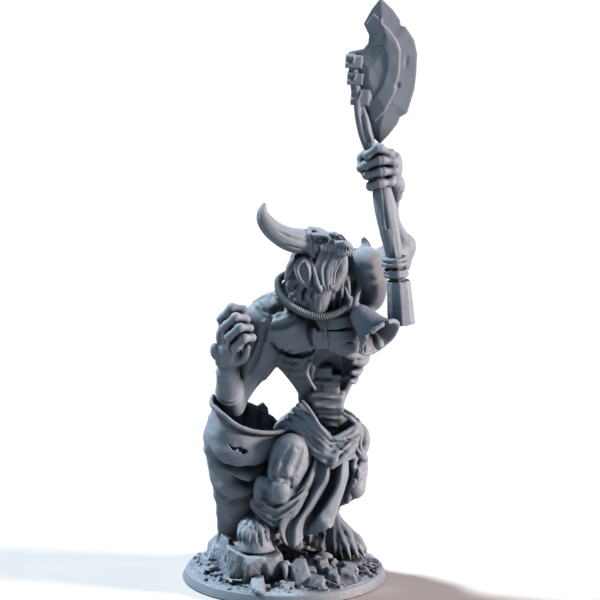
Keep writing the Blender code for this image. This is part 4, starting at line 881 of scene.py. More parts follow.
def make_mane(material):
    """The neck under a mane of heavy leaf-shaped locks, swept down to the rope."""
    clay = Clay((-4.5, -13, 64.5), (20, 9, 84), grain=0.25)
    clay.limb((6.8, -1.8, 69.0, 5.6), (7.0, -2.6, 75.6, 5.2), (7.0, -4.4, 80.6, 3.6), k=1.0)
    clay.limb((7.6, -8.4, 66.0, 2.6), (9.0, -8.4, 69.6, 2.4), (9.6, -8.0, 72.6, 2.2), k=0.8)
    clay.limb((11.8, -5.0, 78.0, 2.6), (13.2, -4.6, 72.0, 2.8), (13.6, -4.8, 67.6, 2.6), k=0.8)
    for x in (11.6, 13.4, 15.0):
        clay.limb((x, -7.4, 66.4, 0.7), (x + 0.3, -7.4, 70.0, 0.7), (x + 0.2, -6.2, 73.6, 0.5), k=0.3)
    draw = random.Random(9)
    rows = ((80.6, 3.4, 7.6, 1.25), (77.0, 4.4, 8.6, 1.35), (73.4, 5.2, 8.0, 1.3), (70.6, 5.6, 6.0, 1.1))
    for row, (height, out, long, radius) in enumerate(rows):
        locks = 11 + row
        for i in range(locks):
            # Locks go round from the near cheek over the back of the neck to the far side.
            turn = math.radians(-118 + 250 * (i + 0.5 * (row % 2)) / locks)
            away = np.array((-math.cos(turn), math.sin(turn), 0.0))
            stretch = np.array((0.92, 1.0, 1.0))
            root = np.array((6.9, -2.4 - 0.15 * (height - 70), height)) + away * stretch * out
            length = long * (0.8 + 0.35 * draw.random())
            sway = np.array((0.5 * draw.uniform(-1, 1), 0.4 * draw.uniform(-1, 1), 0))
            tip = root + away * 1.7 + sway + np.array((0.4, 0.3, -length))
            middle = (root + tip) / 2 + away * 0.9
            size = radius * (0.8 + 0.4 * draw.random())
            clay.limb(
                (*root, size * 0.5), (*middle, size), (*tip, size * 0.15), k=0.12, steps=5, thin=away,
                flat=1.5
            )
    for line in (
        ((1.4, 77.6), (0.6, 75.6), (-0.2, 73.8)), ((3.0, 76.0), (3.6, 74.4), (4.2, 73.0)),
        ((3.4, 72.8), (2.4, 71.4), (1.6, 70.2)),
        ((5.4, 72.6), (4.8, 70.6), (4.4, 69.0)), ((6.8, 71.6), (6.4, 69.8)), ((0.6, 72.6), (0.2, 70.8)),
    ):
        clay.groove(line, 0.45, 0.7, k=0.1)

    def hair(points):
        return lattice_noise(points, (0.34, 0.34, 2.4), 31) * 0.15

    return cast(clay, "mane", "minotaur", material, hair)


# Rope, bell and axe


ROPE_LOOP = (
    (-1.4, -3.4, 72.0), (-0.9, -7.2, 70.0), (1.6, -9.6, 67.7), (4.8, -10.9, 66.1), (8.4, -11.3, 65.3),
    (12.0, -10.9, 65.8), (14.7, -9.9, 67.1), (17.0, -8.0, 68.6), (17.6, -1.6, 72.0), (14.0, 3.6, 73.8),
    (7.6, 5.4, 74.4), (2.2, 3.6, 73.2), (-0.6, 0.0, 72.6),
)


def make_rope(material):
    """The cast rope round the neck: one tube with the ridges of its coils running round it."""
    coil = 0.56
    finer = 40
    sides = 16
    closed = np.array(ROPE_LOOP + ROPE_LOOP[:3])
    fine = smooth_rows(closed, finer)[finer : finer + finer * len(ROPE_LOOP) + 1]
    lengths = np.concatenate([[0], np.cumsum(np.linalg.norm(np.diff(fine, axis=0), axis=1))])
    turns = round(lengths[-1] / coil)
    steps = turns * 8
    along = np.linspace(0, lengths[-1], steps, endpoint=False)
    middle = np.column_stack([np.interp(along, lengths, fine[:, i]) for i in range(3)])
    run = np.roll(middle, -1, axis=0) - np.roll(middle, 1, axis=0)
    run /= np.linalg.norm(run, axis=1, keepdims=True)
    up = np.array((0.1, 0.2, 1.0))
    side = np.cross(run, up)
    side /= np.linalg.norm(side, axis=1, keepdims=True)
    over = np.cross(side, run)
    points = []
    for s in range(sides):
        angle = 2 * math.pi * s / sides
        phase = 2 * math.pi * turns * along / lengths[-1] + 2 * angle
        radius = ROPE_RADIUS * (0.66 + 0.44 * np.sqrt(np.abs(np.cos(phase / 2))))
        points.append(middle + (side * math.cos(angle) + over * math.sin(angle)) * radius[:, None])
    points = np.stack(points, axis=1).reshape(-1, 3)
    i = np.arange(steps)[:, None]
    s = np.arange(sides)[None, :]

    def ring(a, b):
        return (a % steps) * sides + b % sides

    faces = np.stack([ring(i, s), ring(i, s + 1), ring(i + 1, s + 1), ring(i + 1, s)], axis=-1).reshape(-1, 4)
    finish_piece(make_mesh("rope", to_world(points), faces), "minotaur", material)


BELL_TOP = np.array((17.2, -9.0, 66.4))
BELL_MOUTH = np.array((22.6, -14.0, 60.9))
BELL_RADIUS = 5.4
BELL_WALL = 0.8


def make_bell(material):
    """The cracked cow bell with its knotted hanger and the clapper inside."""
    clay = Clay((12.5, -21.5, 51.5), (31.5, -3, 73.5), grain=0.22)
    axis = BELL_MOUTH - BELL_TOP
    length = np.linalg.norm(axis)
    axis = axis / length
    profile = np.array(
        (
            (0.0, 0.02), (0.26, 0.03), (0.38, 0.09), (0.46, 0.22), (0.55, 0.46), (0.68, 0.72), (0.86, 0.92),
            (1.0, 1.02)
        )
    ) * (BELL_RADIUS, length)
    profile = smooth_rows(profile, 4)
    cut = clay.window(clay.low, clay.low + 100)
    x, y, z = (p - np.float32(q) for p, q in zip(clay.places(cut), BELL_TOP))
    down = x * axis[0] + y * axis[1] + z * axis[2]
    out = np.sqrt(np.maximum(x**2 + y**2 + z**2 - down**2, 0))
    near = np.full(down.shape, FAR, np.float32)
    for a, b in zip(profile, profile[1:]):
        run = b - a
        t = np.clip(((out - a[0]) * run[0] + (down - a[1]) * run[1]) / (run @ run), 0, 1)
        near = np.minimum(near, np.sqrt((out - a[0] - t * run[0]) ** 2 + (down - a[1] - t * run[1]) ** 2))
    clay.merge(cut, near - BELL_WALL / 2, 0, False)
    # A thicker lip, chips out of it and the split that runs up from it.
    side = np.cross(axis, (0, 0, 1.0))
    side = side / np.linalg.norm(side)
    up = np.cross(side, axis)

    def rim(turn, share=1.0, radius=BELL_RADIUS):
        angle = math.radians(turn)
        return BELL_TOP + axis * length * share + (side * math.cos(angle) + up * math.sin(angle)) * radius

    for i in range(24):
        a, b = rim(15 * i, 1.0), rim(15 * (i + 1), 1.0)
        clay.limb((*a, 0.55), (*b, 0.55), k=0.3)
    front = math.degrees(math.atan2(np.dot((0, -1, 0.2), up), np.dot((0, -1, 0.2), side)))
    for turn, share, size in (
        (front - 16, 1.0, 0.9), (front - 14, 0.93, 0.6), (front + 38, 1.03, 0.7), (front - 70, 1.02, 0.8)
    ):
        clay.ball(rim(turn, share), (size, size, size), k=0.15, away=True)
    clay.limb(
        (*rim(front - 16, 0.98, 5.9), 0.5), (*rim(front - 12, 0.88, 5.6), 0.35),
        (*rim(front - 17, 0.80, 5.1), 0.15), k=0.1, away=True
    )
    clay.limb((*rim(front + 150, 0.98, 5.9), 0.4), (*rim(front + 156, 0.84, 5.4), 0.15), k=0.1, away=True)
    # The clapper.
    clay.limb(
        (18.4, -10.2, 65.2, 0.6), (21.0, -12.4, 62.0, 0.7), (22.4, -14.4, 59.6, 1.25),
        (22.7, -14.9, 58.9, 0.9), k=0.3
    )
    # The knot on the rope: two turns, and two ends like leaves.
    for shift in (-0.7, 0.5):
        ring = [
            (16.4 + shift + 0.3 * math.sin(a), -9.0 - 1.3 * math.cos(a), 68.0 + 1.35 * math.sin(a), 0.62)
            for a in (2 * math.pi * i / 8 for i in range(9))
        ]
        clay.limb(*ring, k=0.2, steps=2)
    clay.limb((16.8, -9.6, 68.4, 0.55), (17.3, -9.4, 69.8, 0.42), (18.2, -9.0, 70.9, 0.18), k=0.2)
    clay.limb((15.8, -9.8, 68.6, 0.5), (15.2, -9.8, 70.2, 0.45), (14.5, -9.4, 72.2, 0.16), k=0.2)
    clay.limb((17.0, -9.4, 68.0, 0.9), (17.6, -9.3, 66.8, 1.3), k=0.4)

    def dents(points):
        return 0.09 * lattice_noise(points, 2.4, 41) + 0.03 * lattice_noise(points, 0.7, 42)

    return cast(clay, "bell", "minotaur", material, dents)


HAFT = (
    (28.1, -6.1, 63.0, 1.7), (27.2, -5.7, 72.0, 1.85), (26.2, -5.0, 79.0, 1.95), (25.1, -4.4, 85.0, 2.45),
    (24.0, -3.6, 91.0, 2.6), (22.8, -2.8, 97.0, 2.0), (20.6, -1.6, 104.6, 1.3),
)


def make_haft(material):
    """The axe's haft: a split branch with rings and a cracked ferrule."""
    clay = Clay((13, -10.5, 60), (33, 3.5, 129), grain=0.23)
    clay.limb(*HAFT, k=0.3, steps=6)
    for side in (-1, 1):
        clay.limb(
            (20.6 + 0.5 * side, -1.6, 104.0, 0.95), (18.7 + 0.75 * side, -0.9, 110.5, 0.95),
            (17.5 + 0.1 * side, -0.3 + 0.5 * side, 117.0, 0.85), (16.3, 0.3, 126.0, 1.1), k=0.15, steps=6,
        )
    # The fork below the rings, and the long split above them.
    clay.limb((26.2, -7.4, 73.8, 0.5), (26.6, -7.0, 77.6, 0.25), k=0.2, away=True)
    clay.limb((25.9, -7.2, 78.8, 0.65), (25.9, -7.2, 82.0, 0.4), (25.3, -7.2, 86.0, 0.2), k=0.2, away=True)
    clay.limb((24.6, -6.6, 86.0, 0.3), (23.8, -6.2, 92.0, 0.35), (23.2, -5.2, 96.0, 0.2), k=0.2, away=True)
    for x, y, z, wide in (
        (26.4, -5.1, 78.1, 2.5), (26.5, -5.2, 77.0, 2.7), (26.75, -5.3, 75.2, 2.35), (26.9, -5.4, 74.3, 2.45)
    ):
        ring = [
            (x + wide * math.cos(a), y + wide * math.sin(a), z + 0.16 * math.cos(a), 0.55)
            for a in (2 * math.pi * i / 12 for i in range(13))
        ]
        clay.limb(*ring, k=0.12, steps=2)
        clay.ball((x, y, z), (wide, wide, 0.6), k=0.3)
    press_ferrule(clay)
    run = smooth_rows(HAFT + ((18.4, -0.8, 112.0, 1.5), (16.3, 0.3, 127.0, 1.2)), 6)

    def grain(points):
        along, turn = along_rows(points, run)
        ring = np.column_stack([np.cos(turn) * 2, np.sin(turn) * 2, along * 0.1])
        wood = lattice_noise(ring, (0.6, 0.6, 0.45), 51) * 0.16
        wood = wood + lattice_noise(ring, (0.22, 0.22, 0.3), 52) * 0.06
        iron = lattice_noise(points, 0.9, 53) * 0.05
        return np.where(points[:, 2] < 72.8, iron, wood)

    return cast(clay, "axe_haft", "minotaur", material, grain)


def press_ferrule(clay):
    """The ferrule: a faceted, slightly flared tube with a notched end."""
    low, top = np.array((28.1, -6.2, 62.3)), np.array((27.35, -5.7, 72.9))
    axis = (low - top) / np.linalg.norm(low - top)
    reach = np.linalg.norm(low - top)
    cut = clay.window((22.5, -11, 59), (33, -1, 76))
    x, y, z = (p - np.float32(q) for p, q in zip(clay.places(cut), top))
    down = x * axis[0] + y * axis[1] + z * axis[2]
    ax, ay = x - down * axis[0], y - down * axis[1]
    wide = 2.75 + 0.45 * down / reach
    sides = 9
    shell = np.full(down.shape, -FAR, np.float32)
    for i in range(sides):
        a = 2 * math.pi * (i + 0.35) / sides
        shell = np.maximum(shell, ax * math.cos(a) + ay * math.sin(a) - wide)
    near = np.maximum(shell, np.abs(down - reach / 2) - reach / 2)
    clay.merge(cut, near, 0.1, False)
    clay.ball((27.9, -6.0, 61.3), (2.1, 2.1, 1.7), k=0.2, away=True)
    for x, y, z, size in (
        (26.4, -9.0, 62.2, 0.8), (28.6, -9.2, 62.0, 0.6), (30.4, -8.2, 62.2, 0.7), (25.6, -4.4, 62.0, 0.6)
    ):
        clay.ball((x, y, z), (size, size, size), k=0.1, away=True)
    clay.ball((26.9, -9.2, 66.4), (0.45, 0.5, 0.3), k=0.2, away=True)
    clay.limb((26.6, -9.2, 61.4, 0.25), (26.9, -9.15, 63.0, 0.16), (26.7, -9.0, 64.2, 0.1), k=0.1, away=True)
    clay.limb((27.9, -9.3, 61.4, 0.2), (27.6, -9.2, 62.8, 0.1), k=0.1, away=True)


BLADE_OUTER = (
    (22.9, 140.1), (25.9, 137.2), (27.6, 134.7), (27.7, 133.5), (28.9, 133.2), (31.0, 130.0), (31.7, 126.8),
    (31.5, 121.9), (31.1, 118.3), (30.1, 114.8), (29.4, 112.5), (27.7, 111.5), (27.1, 109.9), (25.0, 107.2),
    (22.9, 105.0), (21.0, 106.8), (19.9, 109.0), (19.7, 113.0), (17.8, 115.0), (16.0, 120.0), (15.4, 127.2),
    (18.9, 127.9), (20.0, 129.3), (20.2, 131.2), (18.9, 133.9), (20.7, 137.2),
)
BLADE_MIDDLE = (
    (21.0, 131.2), (19.4, 133.8), (21.1, 136.6), (22.6, 135.3), (23.3, 135.6), (23.4, 134.2), (25.2, 132.4),
    (26.8, 130.2),
    (27.7, 127.6), (27.5, 122.4), (26.3, 117.2), (24.4, 113.4), (21.6, 110.2), (20.4, 110.6), (20.1, 113.2),
    (18.2, 115.4), (16.2, 120.2), (15.8, 127.0), (19.6, 127.4), (21.0, 129.0),
)
BLADE_INNER = (
    (16.0, 127.0), (19.6, 127.3), (20.9, 128.9), (23.2, 129.3), (24.5, 127.0), (24.7, 123.6), (23.6, 119.4),
    (21.6, 116.2),
    (19.6, 113.9), (18.0, 115.8), (16.6, 120.4),
)
BLADE_Y = 0.2


def outline_distance(outline, x, z):
    """Signed distance in the plane to a closed outline, negative inside."""
    p = np.array(outline, float)
    near = np.full(np.broadcast(x, z).shape, 1e9)
    inside = np.zeros(near.shape, bool)
    for a, b in zip(p, np.roll(p, -1, axis=0)):
        run = b - a
        t = np.clip(((x - a[0]) * run[0] + (z - a[1]) * run[1]) / (run @ run), 0, 1)
        near = np.minimum(near, (x - a[0] - t * run[0]) ** 2 + (z - a[1] - t * run[1]) ** 2)
        crosses = (a[1] > z) != (b[1] > z)
        if a[1] != b[1]:
            inside ^= crosses & (x < run[0] * (z - a[1]) / run[1] + a[0])
    return np.where(inside, -np.sqrt(near), np.sqrt(near))


def make_blade(material):
    """The great blade: a ground edge round a raised plate, sunk again towards the socket."""
    clay = Clay((13.6, -4.2, 103.6), (33, 4.6, 141.6), grain=0.21)
    x, z = clay.axes[0][:, None], clay.axes[2][None, :]
    outer = outline_distance(BLADE_OUTER, x, z)
    middle = outline_distance(BLADE_MIDDLE, x, z)
    inner = outline_distance(BLADE_INNER, x, z)
    half = 0.3 + 0.75 * np.clip(-outer / 4.2, 0, 1)
    half = np.where(middle < 0, np.maximum(half, 0.3) + 0.28 * np.clip(-middle / 0.25, 0, 1), half)
    half = half - 0.36 * np.clip(-inner / 0.3, 0, 1) + 0.25 * np.clip((-inner - 0.3) / 4, 0, 1)
    plane = [np.broadcast_to(a, half.shape).ravel() for a in (x, z)]
    plane = np.column_stack([*plane, np.zeros(half.size)])
    half = half + 0.04 * lattice_noise(plane, 1.8, 61).reshape(half.shape)
    side = np.abs(clay.axes[1][None, :, None] - BLADE_Y) - half[:, None, :]
    clay.d = np.maximum(side * 0.9, outer[:, None, :]).astype(np.float32)
    for face in (-1, 1):
        # The long dent, the round pit and the nicks of the edge.
        clay.ball((29.2, BLADE_Y + 1.2 * face, 125.0), (0.9, 0.62, 2.5), (0, 6, 0), k=0.12, away=True)
        clay.ball((27.2, BLADE_Y + 1.5 * face, 119.2), (0.85, 0.75, 1.2), (0, 12, 0), k=0.12, away=True)
        for a, b in (((28.4, 133.6), (25.2, 132.8)), ((28.0, 111.0), (24.6, 112.6))):
            clay.limb(
                (a[0], BLADE_Y + 1.3 * face, a[1], 0.5), (b[0], BLADE_Y + 1.5 * face, b[1], 0.3), k=0.15,
                away=True
            )
        clay.limb(
            (20.6, BLADE_Y + 1.5 * face, 129.6, 0.5), (23.8, BLADE_Y + 1.5 * face, 131.2, 0.5),
            (21.2, BLADE_Y + 1.4 * face, 128.4, 0.5), k=0.1, away=True
        )
        clay.limb(
            (21.2, BLADE_Y + 1.35 * face, 123.8, 0.25), (17.6, BLADE_Y + 1.3 * face, 123.2, 0.2), k=0.2,
            away=True
        )
    press_lugs(clay)
    return cast(clay, "axe_blade", "minotaur", material)


def press_lugs(clay):
    """The socket's three straps, broken open at their left end on both sides."""
    for x, z, tall, wide in ((18.1, 116.4, 2.0, 2.2), (16.9, 120.8, 1.5, 1.9), (16.6, 124.9, 1.6, 2.0)):
        clay.slab((x, BLADE_Y, z), (wide, 1.6, tall), (0, 5, 0), corner=0.3, k=0.1)
        for face in (-1, 1):
            front = BLADE_Y + 1.65 * face
            clay.slab(
                (x + 0.3, front, z - tall - 0.15), (wide, 0.5, 0.28), (0, 2, 0), corner=0.1, k=0.05, away=True
            )
            clay.limb((x - wide, front, z + 0.35, 0.75), (x - 0.2, front, z + 0.1, 0.2), k=0.1, away=True)
            clay.slab((x - 0.1, front, z + 0.5), (0.25, 0.3, tall * 0.5), (0, 20, 0), corner=0.1, k=0.1)
    clay.ball((19.6, BLADE_Y, 116.4), (1.9, 1.5, 2.0), k=0.2)
    clay.limb((18.2, BLADE_Y, 114.6, 1.5), (17.1, BLADE_Y, 118.4, 1.2), (16.5, BLADE_Y, 123.0, 1.1), k=0.3)


# Legs and hooves


def make_legs(material):
    """The raised leg on its rock and the standing leg beside it."""
    clay = Clay((-12, -19.5, 2.0), (23, 9, 38), grain=0.29)
    # The raised thigh, egg-shaped, with its scar and the wrinkles over the kneecap.
    clay.limb((*HIP_R, 4.8), (2.2, -6.8, 30.2, 5.2), (0.2, -10.6, 26.8, 4.3), k=1.0)
    clay.ball((1.0, -8.4, 30.0), (4.7, 4.4, 6.6), (28, 12, 0), k=1.0)
    clay.ball((-1.1, -14.2, 23.6), (2.6, 2.2, 2.6), k=0.5)
    clay.ball((-1.2, -13.4, 21.6), (2.3, 1.9, 1.9), k=0.4)
    clay.limb((-5.4, -10.6, 24.4, 1.6), (-5.9, -10.8, 22.2, 1.6), (-5.5, -10.2, 20.2, 1.4), k=0.4)
    clay.limb((-3.4, -11.4, 24.0, 1.7), (-5.2, -10.4, 23.4, 1.5), k=0.6)
    clay.limb((-1.1, -11.6, 22.4, 2.8), (-3.4, -7.6, 17.4, 2.7), (*HOCK_R, 2.2), (*FETLOCK_R, 2.3), k=0.8)
    clay.limb((2.8, -12.0, 34.0, 0.4), (3.6, -12.3, 32.6, 0.5), (3.2, -12.4, 31.4, 0.35), k=0.3)
    for line, width, depth in (
        (((3.0, 33.4), (3.7, 32.4), (3.5, 31.4)), 0.3, 0.35),
        (((-3.2, 26.6), (-1.4, 25.6), (0.8, 26.0)), 0.35, 0.35),
        (((-3.6, 25.4), (-3.2, 23.6), (-3.4, 21.6)), 0.4, 0.5),
        (((1.4, 26.4), (1.7, 24.0), (0.8, 21.4)), 0.35, 0.3),
        (((-0.4, 28.6), (0.6, 26.8), (1.4, 25.8)), 0.3, 0.25),
    ):
        clay.groove(line, width, depth, k=0.4)
    press_shin_cloth(clay)
    for line, width, depth in (
        (((1.6, 34.0), (-0.2, 30.4), (-1.2, 26.6)), 1.0, 0.4),
        (((4.6, 33.6), (3.4, 29.8), (1.6, 26.4)), 0.9, 0.4),
        (((-2.0, 31.6), (-3.2, 28.8), (-2.6, 26.4)), 0.9, 0.35),
        (((-0.6, 26.6), (1.0, 25.6), (3.0, 26.4)), 0.6, 0.6),
    ):
        clay.groove(line, width, depth, k=0.5)
    # The standing leg.
    clay.limb((*HIP_L, 4.6), (16.2, 0.2, 26.6, 4.2), (*KNEE_L, 2.7), k=1.0)
    clay.ball((17.0, -4.0, 21.0), (2.1, 1.8, 2.2), k=0.5)
    clay.limb((*KNEE_L, 2.5), (14.8, 1.2, 17.6, 1.9), (*HOCK_L, 1.4), (12.4, 2.2, 10.6, 1.9), k=0.7)
    press_right_hoof(clay)
    press_left_hoof(clay)

    def skin_and_hair(points):
        hair = points[:, 2] < 15.5
        fibre = lattice_noise(points, (0.4, 0.4, 2.4), 71) * 0.07
        return np.where(hair, fibre, 0.06 * lattice_noise(points, 1.2, 72))

    return cast(clay, "legs", "minotaur", material, skin_and_hair)


def press_shin_cloth(clay):
    """Cloth that hangs in U-shaped folds from the knee round the shin."""
    clay.limb(
        (5.4, -8.6, 24.0, 2.0), (1.4, -10.6, 19.4, 2.6), (-2.8, -9.8, 17.2, 3.4), (-6.0, -7.8, 18.2, 2.4),
        k=0.8
    )
    clay.limb((-2.4, -10.6, 18.0, 2.6), (-3.0, -9.8, 15.4, 2.7), (-4.6, -8.8, 14.6, 2.5), k=0.6)
    clay.limb((4.4, -10.2, 21.4, 1.6), (1.8, -11.2, 17.6, 1.8), (-0.4, -10.8, 14.8, 1.4), k=0.6)
    for line, width, height in (
        (((-7.2, 20.6), (-5.0, 19.7), (-2.4, 18.2), (0.8, 19.8), (3.9, 21.6), (6.0, 24.2)), 0.55, 0.95),
        (((-7.0, 18.2), (-4.6, 16.9), (-2.4, 15.9), (0.0, 17.2), (2.8, 19.2), (4.8, 21.8)), 0.5, 0.75),
        (((-6.4, 16.6), (-4.3, 15.3), (-2.4, 14.2), (-0.8, 14.9), (1.2, 16.6)), 0.5, 0.7),
    ):
        clay.ridge(line, width, height, k=0.25)


def press_right_hoof(clay):
    """The broad cloven hoof on the rock, under its tuft of pointed locks."""
    x, y, z = SOLE_R
    cut = clay.window((x - 7, y - 7, z - 1), (x + 7, y + 7, z + 6))
    px, py, pz = (p - np.float32(q) for p, q in zip(clay.places(cut), (x, y, z)))
    cone = (np.sqrt(px**2 + py**2) - (HOOF_RADIUS + 0.75 - 0.34 * pz)) * 0.93
    clay.merge(cut, np.maximum(cone, np.maximum(-pz, pz - 3.8)), 0.5, False)
    clay.limb((x - 2.3, y - 5.2, z - 0.2, 0.4), (x - 2.2, y - 4.4, z + 2.8, 0.22), k=0.1, away=True)
    clay.limb((x + 2.6, y - 4.6, z - 0.2, 0.22), (x + 2.2, y - 4.2, z + 1.8, 0.12), k=0.1, away=True)
    for height in (0.9, 1.7):
        ring = [
            (
                x + (HOOF_RADIUS + 0.95 - 0.34 * height) * math.cos(a),
                y + (HOOF_RADIUS + 0.95 - 0.34 * height) * math.sin(a), z + height, 0.12
            ) for a in (2 * math.pi * i / 24 for i in range(25))
        ]
        clay.limb(*ring, k=0.12, steps=1, away=True)
    clay.limb((*FETLOCK_R, 2.3), (x, y + 0.6, z + 3.6, 3.3), k=0.4)
    draw = random.Random(3)
    for ring, (count, drop, out, radius) in enumerate(
        ((16, 2.3, 4.35, 0.8), (13, 3.3, 3.9, 0.85), (10, 4.6, 3.0, 0.8))
    ):
        for i in range(count):
            angle = 2 * math.pi * (i + 0.5 * ring) / count
            away = np.array((math.cos(angle), math.sin(angle), 0.0))
            root = np.array(FETLOCK_R) + (0, 0, 1.6 + 0.3 * ring) + away * 1.3
            tip = np.array((x, y, z + drop + 0.6 * draw.uniform(-1, 1)))
            tip = tip + away * (out + 0.2 * draw.uniform(-1, 1))
            middle = root * 0.4 + tip * 0.6 + away * 0.5 + (0, 0, 0.7)
            size = radius * draw.uniform(0.85, 1.15)
            clay.limb((*root, size * 0.7), (*middle, size), (*tip, size * 0.18), k=0.1, steps=6)


def press_left_hoof(clay):
    """The long feather of hair that hides the standing hoof, parted into claws at the ground."""
    x, y, z = SOLE_L
    clay.limb((11.9, 2.4, 12.0, 1.4), (13.2, 1.2, 7.8, 2.4), (14.5, 0.5, 4.8, 3.0), k=0.6)
    clay.ball((14.7, 0.2, 3.6), (3.6, 3.6, 1.3), k=0.4)
    clay.limb((13.6, 1.0, 9.4, 0.7), (17.4, 0.2, 7.3, 1.2), (19.4, -0.4, 4.6, 0.9), k=0.4)
    draw = random.Random(8)
    for ring, (count, reach, radius, low) in enumerate(
        ((15, 4.2, 0.85, 0.35), (11, 3.3, 0.9, 1.9), (8, 2.2, 0.8, 4.0))
    ):
        for i in range(count):
            angle = 2 * math.pi * (i + 0.5 * ring) / count
            away = np.array((math.cos(angle), math.sin(angle), 0.0))
            root = np.array((11.9, 2.3, 13.2 - 0.4 * ring)) + away * 0.5
            spread = reach + 0.25 * draw.uniform(-1, 1) + 1.2 * max(0.0, away[0])
            foot = np.array((x, y, z + low + 0.5 * draw.random())) + away * spread
            swell = root * 0.3 + foot * 0.7 + away * 0.05 + (0, 0, 0.1)
            size = radius * draw.uniform(0.85, 1.15)
            clay.limb((*root, size * 0.45), (*swell, size), (*foot, size * 0.22), k=0.1, steps=6)


# Cloth


def sample_grid(grid, i, j):
    """Points between those of a grid, at fractional rows and columns."""
    i0 = np.clip(np.floor(i).astype(int), 0, grid.shape[0] - 2)
    j0 = np.clip(np.floor(j).astype(int), 0, grid.shape[1] - 2)
    s, t = (i - i0)[..., None], (j - j0)[..., None]
    upper = grid[i0, j0] * (1 - s) + grid[i0 + 1, j0] * s
    lower = grid[i0, j0 + 1] * (1 - s) + grid[i0 + 1, j0 + 1] * s
    return upper * (1 - t) + lower * t


def grid_normals(points):
    normal = np.cross(np.gradient(points, axis=1), np.gradient(points, axis=0))
    return normal / (np.linalg.norm(normal, axis=2, keepdims=True) + 1e-9)


def lay_cloth(name, material, columns, grid, fold, hem, keep, thickness):
    """A thick cloth hung through columns of points that run clockwise seen from above.

    fold(u, v, points) gives how far it stands out and how far it sags, hem(u) the share of its length that is
    left, and keep(u, v) which of it is whole.
    """
    columns = np.array(columns, float)
    wide, tall = columns.shape[:2]
    fine = smooth_rows(columns.reshape(wide, -1), 8).reshape(-1, tall, 3)
    fine = smooth_rows(fine.transpose(1, 0, 2).reshape(tall, -1), 8).reshape(-1, fine.shape[0], 3)
    across, down = (int(n / COARSE) for n in grid)
    v, u = np.meshgrid(np.linspace(0, 1, down), np.linspace(0, wide - 1, across), indexing="ij")
    left = v * hem(u)
    points = sample_grid(fine, left * (tall - 1) * 8, u * 8)
    out, sag = fold(u, left, points)
    points = points + grid_normals(points) * out[..., None]
    points[..., 2] -= sag
    inner = points - grid_normals(points) * thickness
    whole = keep(u[:-1, :-1], left[:-1, :-1])
    number = np.arange(down * across).reshape(down, across)
    a, b, c, d = number[:-1, :-1], number[:-1, 1:], number[1:, 1:], number[1:, :-1]
    count = down * across
    faces = [np.stack([p[whole] for p in (a, b, c, d)], axis=1)]
    faces.append(np.stack([p[whole] + count for p in (d, c, b, a)], axis=1))
    framed = np.pad(whole, 1)
    for p, q, beside in (
        (a, b, framed[:-2, 1:-1]), (b, c, framed[1:-1, 2:]), (c, d, framed[2:, 1:-1]),
        (d, a, framed[1:-1, :-2]),
    ):
        rim = whole & ~beside
        faces.append(np.stack([q[rim], p[rim], p[rim] + count, q[rim] + count], axis=1))
    faces = np.vstack(faces)
    used, faces = np.unique(faces, return_inverse=True)
    both = np.concatenate([points.reshape(-1, 3), inner.reshape(-1, 3)])[used]
    return finish_piece(make_mesh(name, to_world(both), faces.reshape(-1, 4)), "minotaur", material)


# Folds across the skirt's front: the crest's line (x, z), how far it stands out, how deep the hollow under it
# is, and where it ends at the left and the right.
SWAGS = (
    (
        ((-19.4, 33.4), (-17.4, 31.6), (-14.3, 30.2), (-11.1, 29.6), (-7.2, 30.2), (-3.9, 31.4), (0, 33)),
        1.5, 3.2, (-16.5, 2)
    ),
    (((-15.0, 26.8), (-11.9, 25.9), (-8.6, 25.4), (-5.4, 26.4), (-2, 28)), 1.5, 2.5, (-12.4, -4.2)),
    (((-18.4, 23.4), (-16.2, 21.8), (-12.4, 20.3), (-8.6, 21.0), (-4.0, 23.6)), 0.9, 0.9, (-16.6, -4.0)),
    (((-18.4, 20.4), (-17.0, 18.9), (-15.0, 17.4), (-12.9, 18.9), (-12.0, 20.2)), 0.5, 0.4, (-17.2, -12.6)),
)


def skirt_fold(u, v, points):
    """Swags across the front, each a lip over a hollow, and pleats down the sides and the back."""
    x, z = points[..., 0], points[..., 2]
    flat = points.reshape(-1, 3)
    wander = lattice_noise(flat, (5.0, 5.0, 9.0), 83).reshape(u.shape)
    swag = np.zeros_like(u)
    sag = np.zeros_like(u)
    for line, lip, hollow, (left, right) in SWAGS:
        above = z - np.interp(x, *zip(*line)) + 0.5 * wander
        ends = 1 / (1 + np.exp(-(x - left) / 0.8)) / (1 + np.exp((x - right) / 0.8))
        crest = np.where(above > 0, np.exp(-((above / 2.4) ** 2)), np.exp(-((above / 0.7) ** 2)))
        swag += ends * (lip * crest - hollow * np.exp(-(((above + 2.1) / 1.5) ** 2)))
        sag += ends * 0.8 * lip * np.exp(-(((above + 0.1) / 0.6) ** 2))
    front = np.clip((5.0 - u) / 1.6, 0, 1)
    front = front * front * (3 - 2 * front)
    creases = lattice_noise(flat, (3.4, 3.4, 1.6), 81).reshape(u.shape)
    wrinkles = lattice_noise(flat, (1.1, 1.1, 0.8), 82).reshape(u.shape)
    pleats = np.sin(5.2 * u + 1.5 * v + 0.4) * (0.2 + 1.1 * v) + 0.4 * np.sin(9.7 * u - 2.0 * v)
    pleats = pleats + 0.18 * np.sin(17.0 * u + 3.0 * v)
    out = front * swag + (1 - front) * pleats * 0.8 + 0.22 * creases + 0.04 * wrinkles
    return out, front * sag


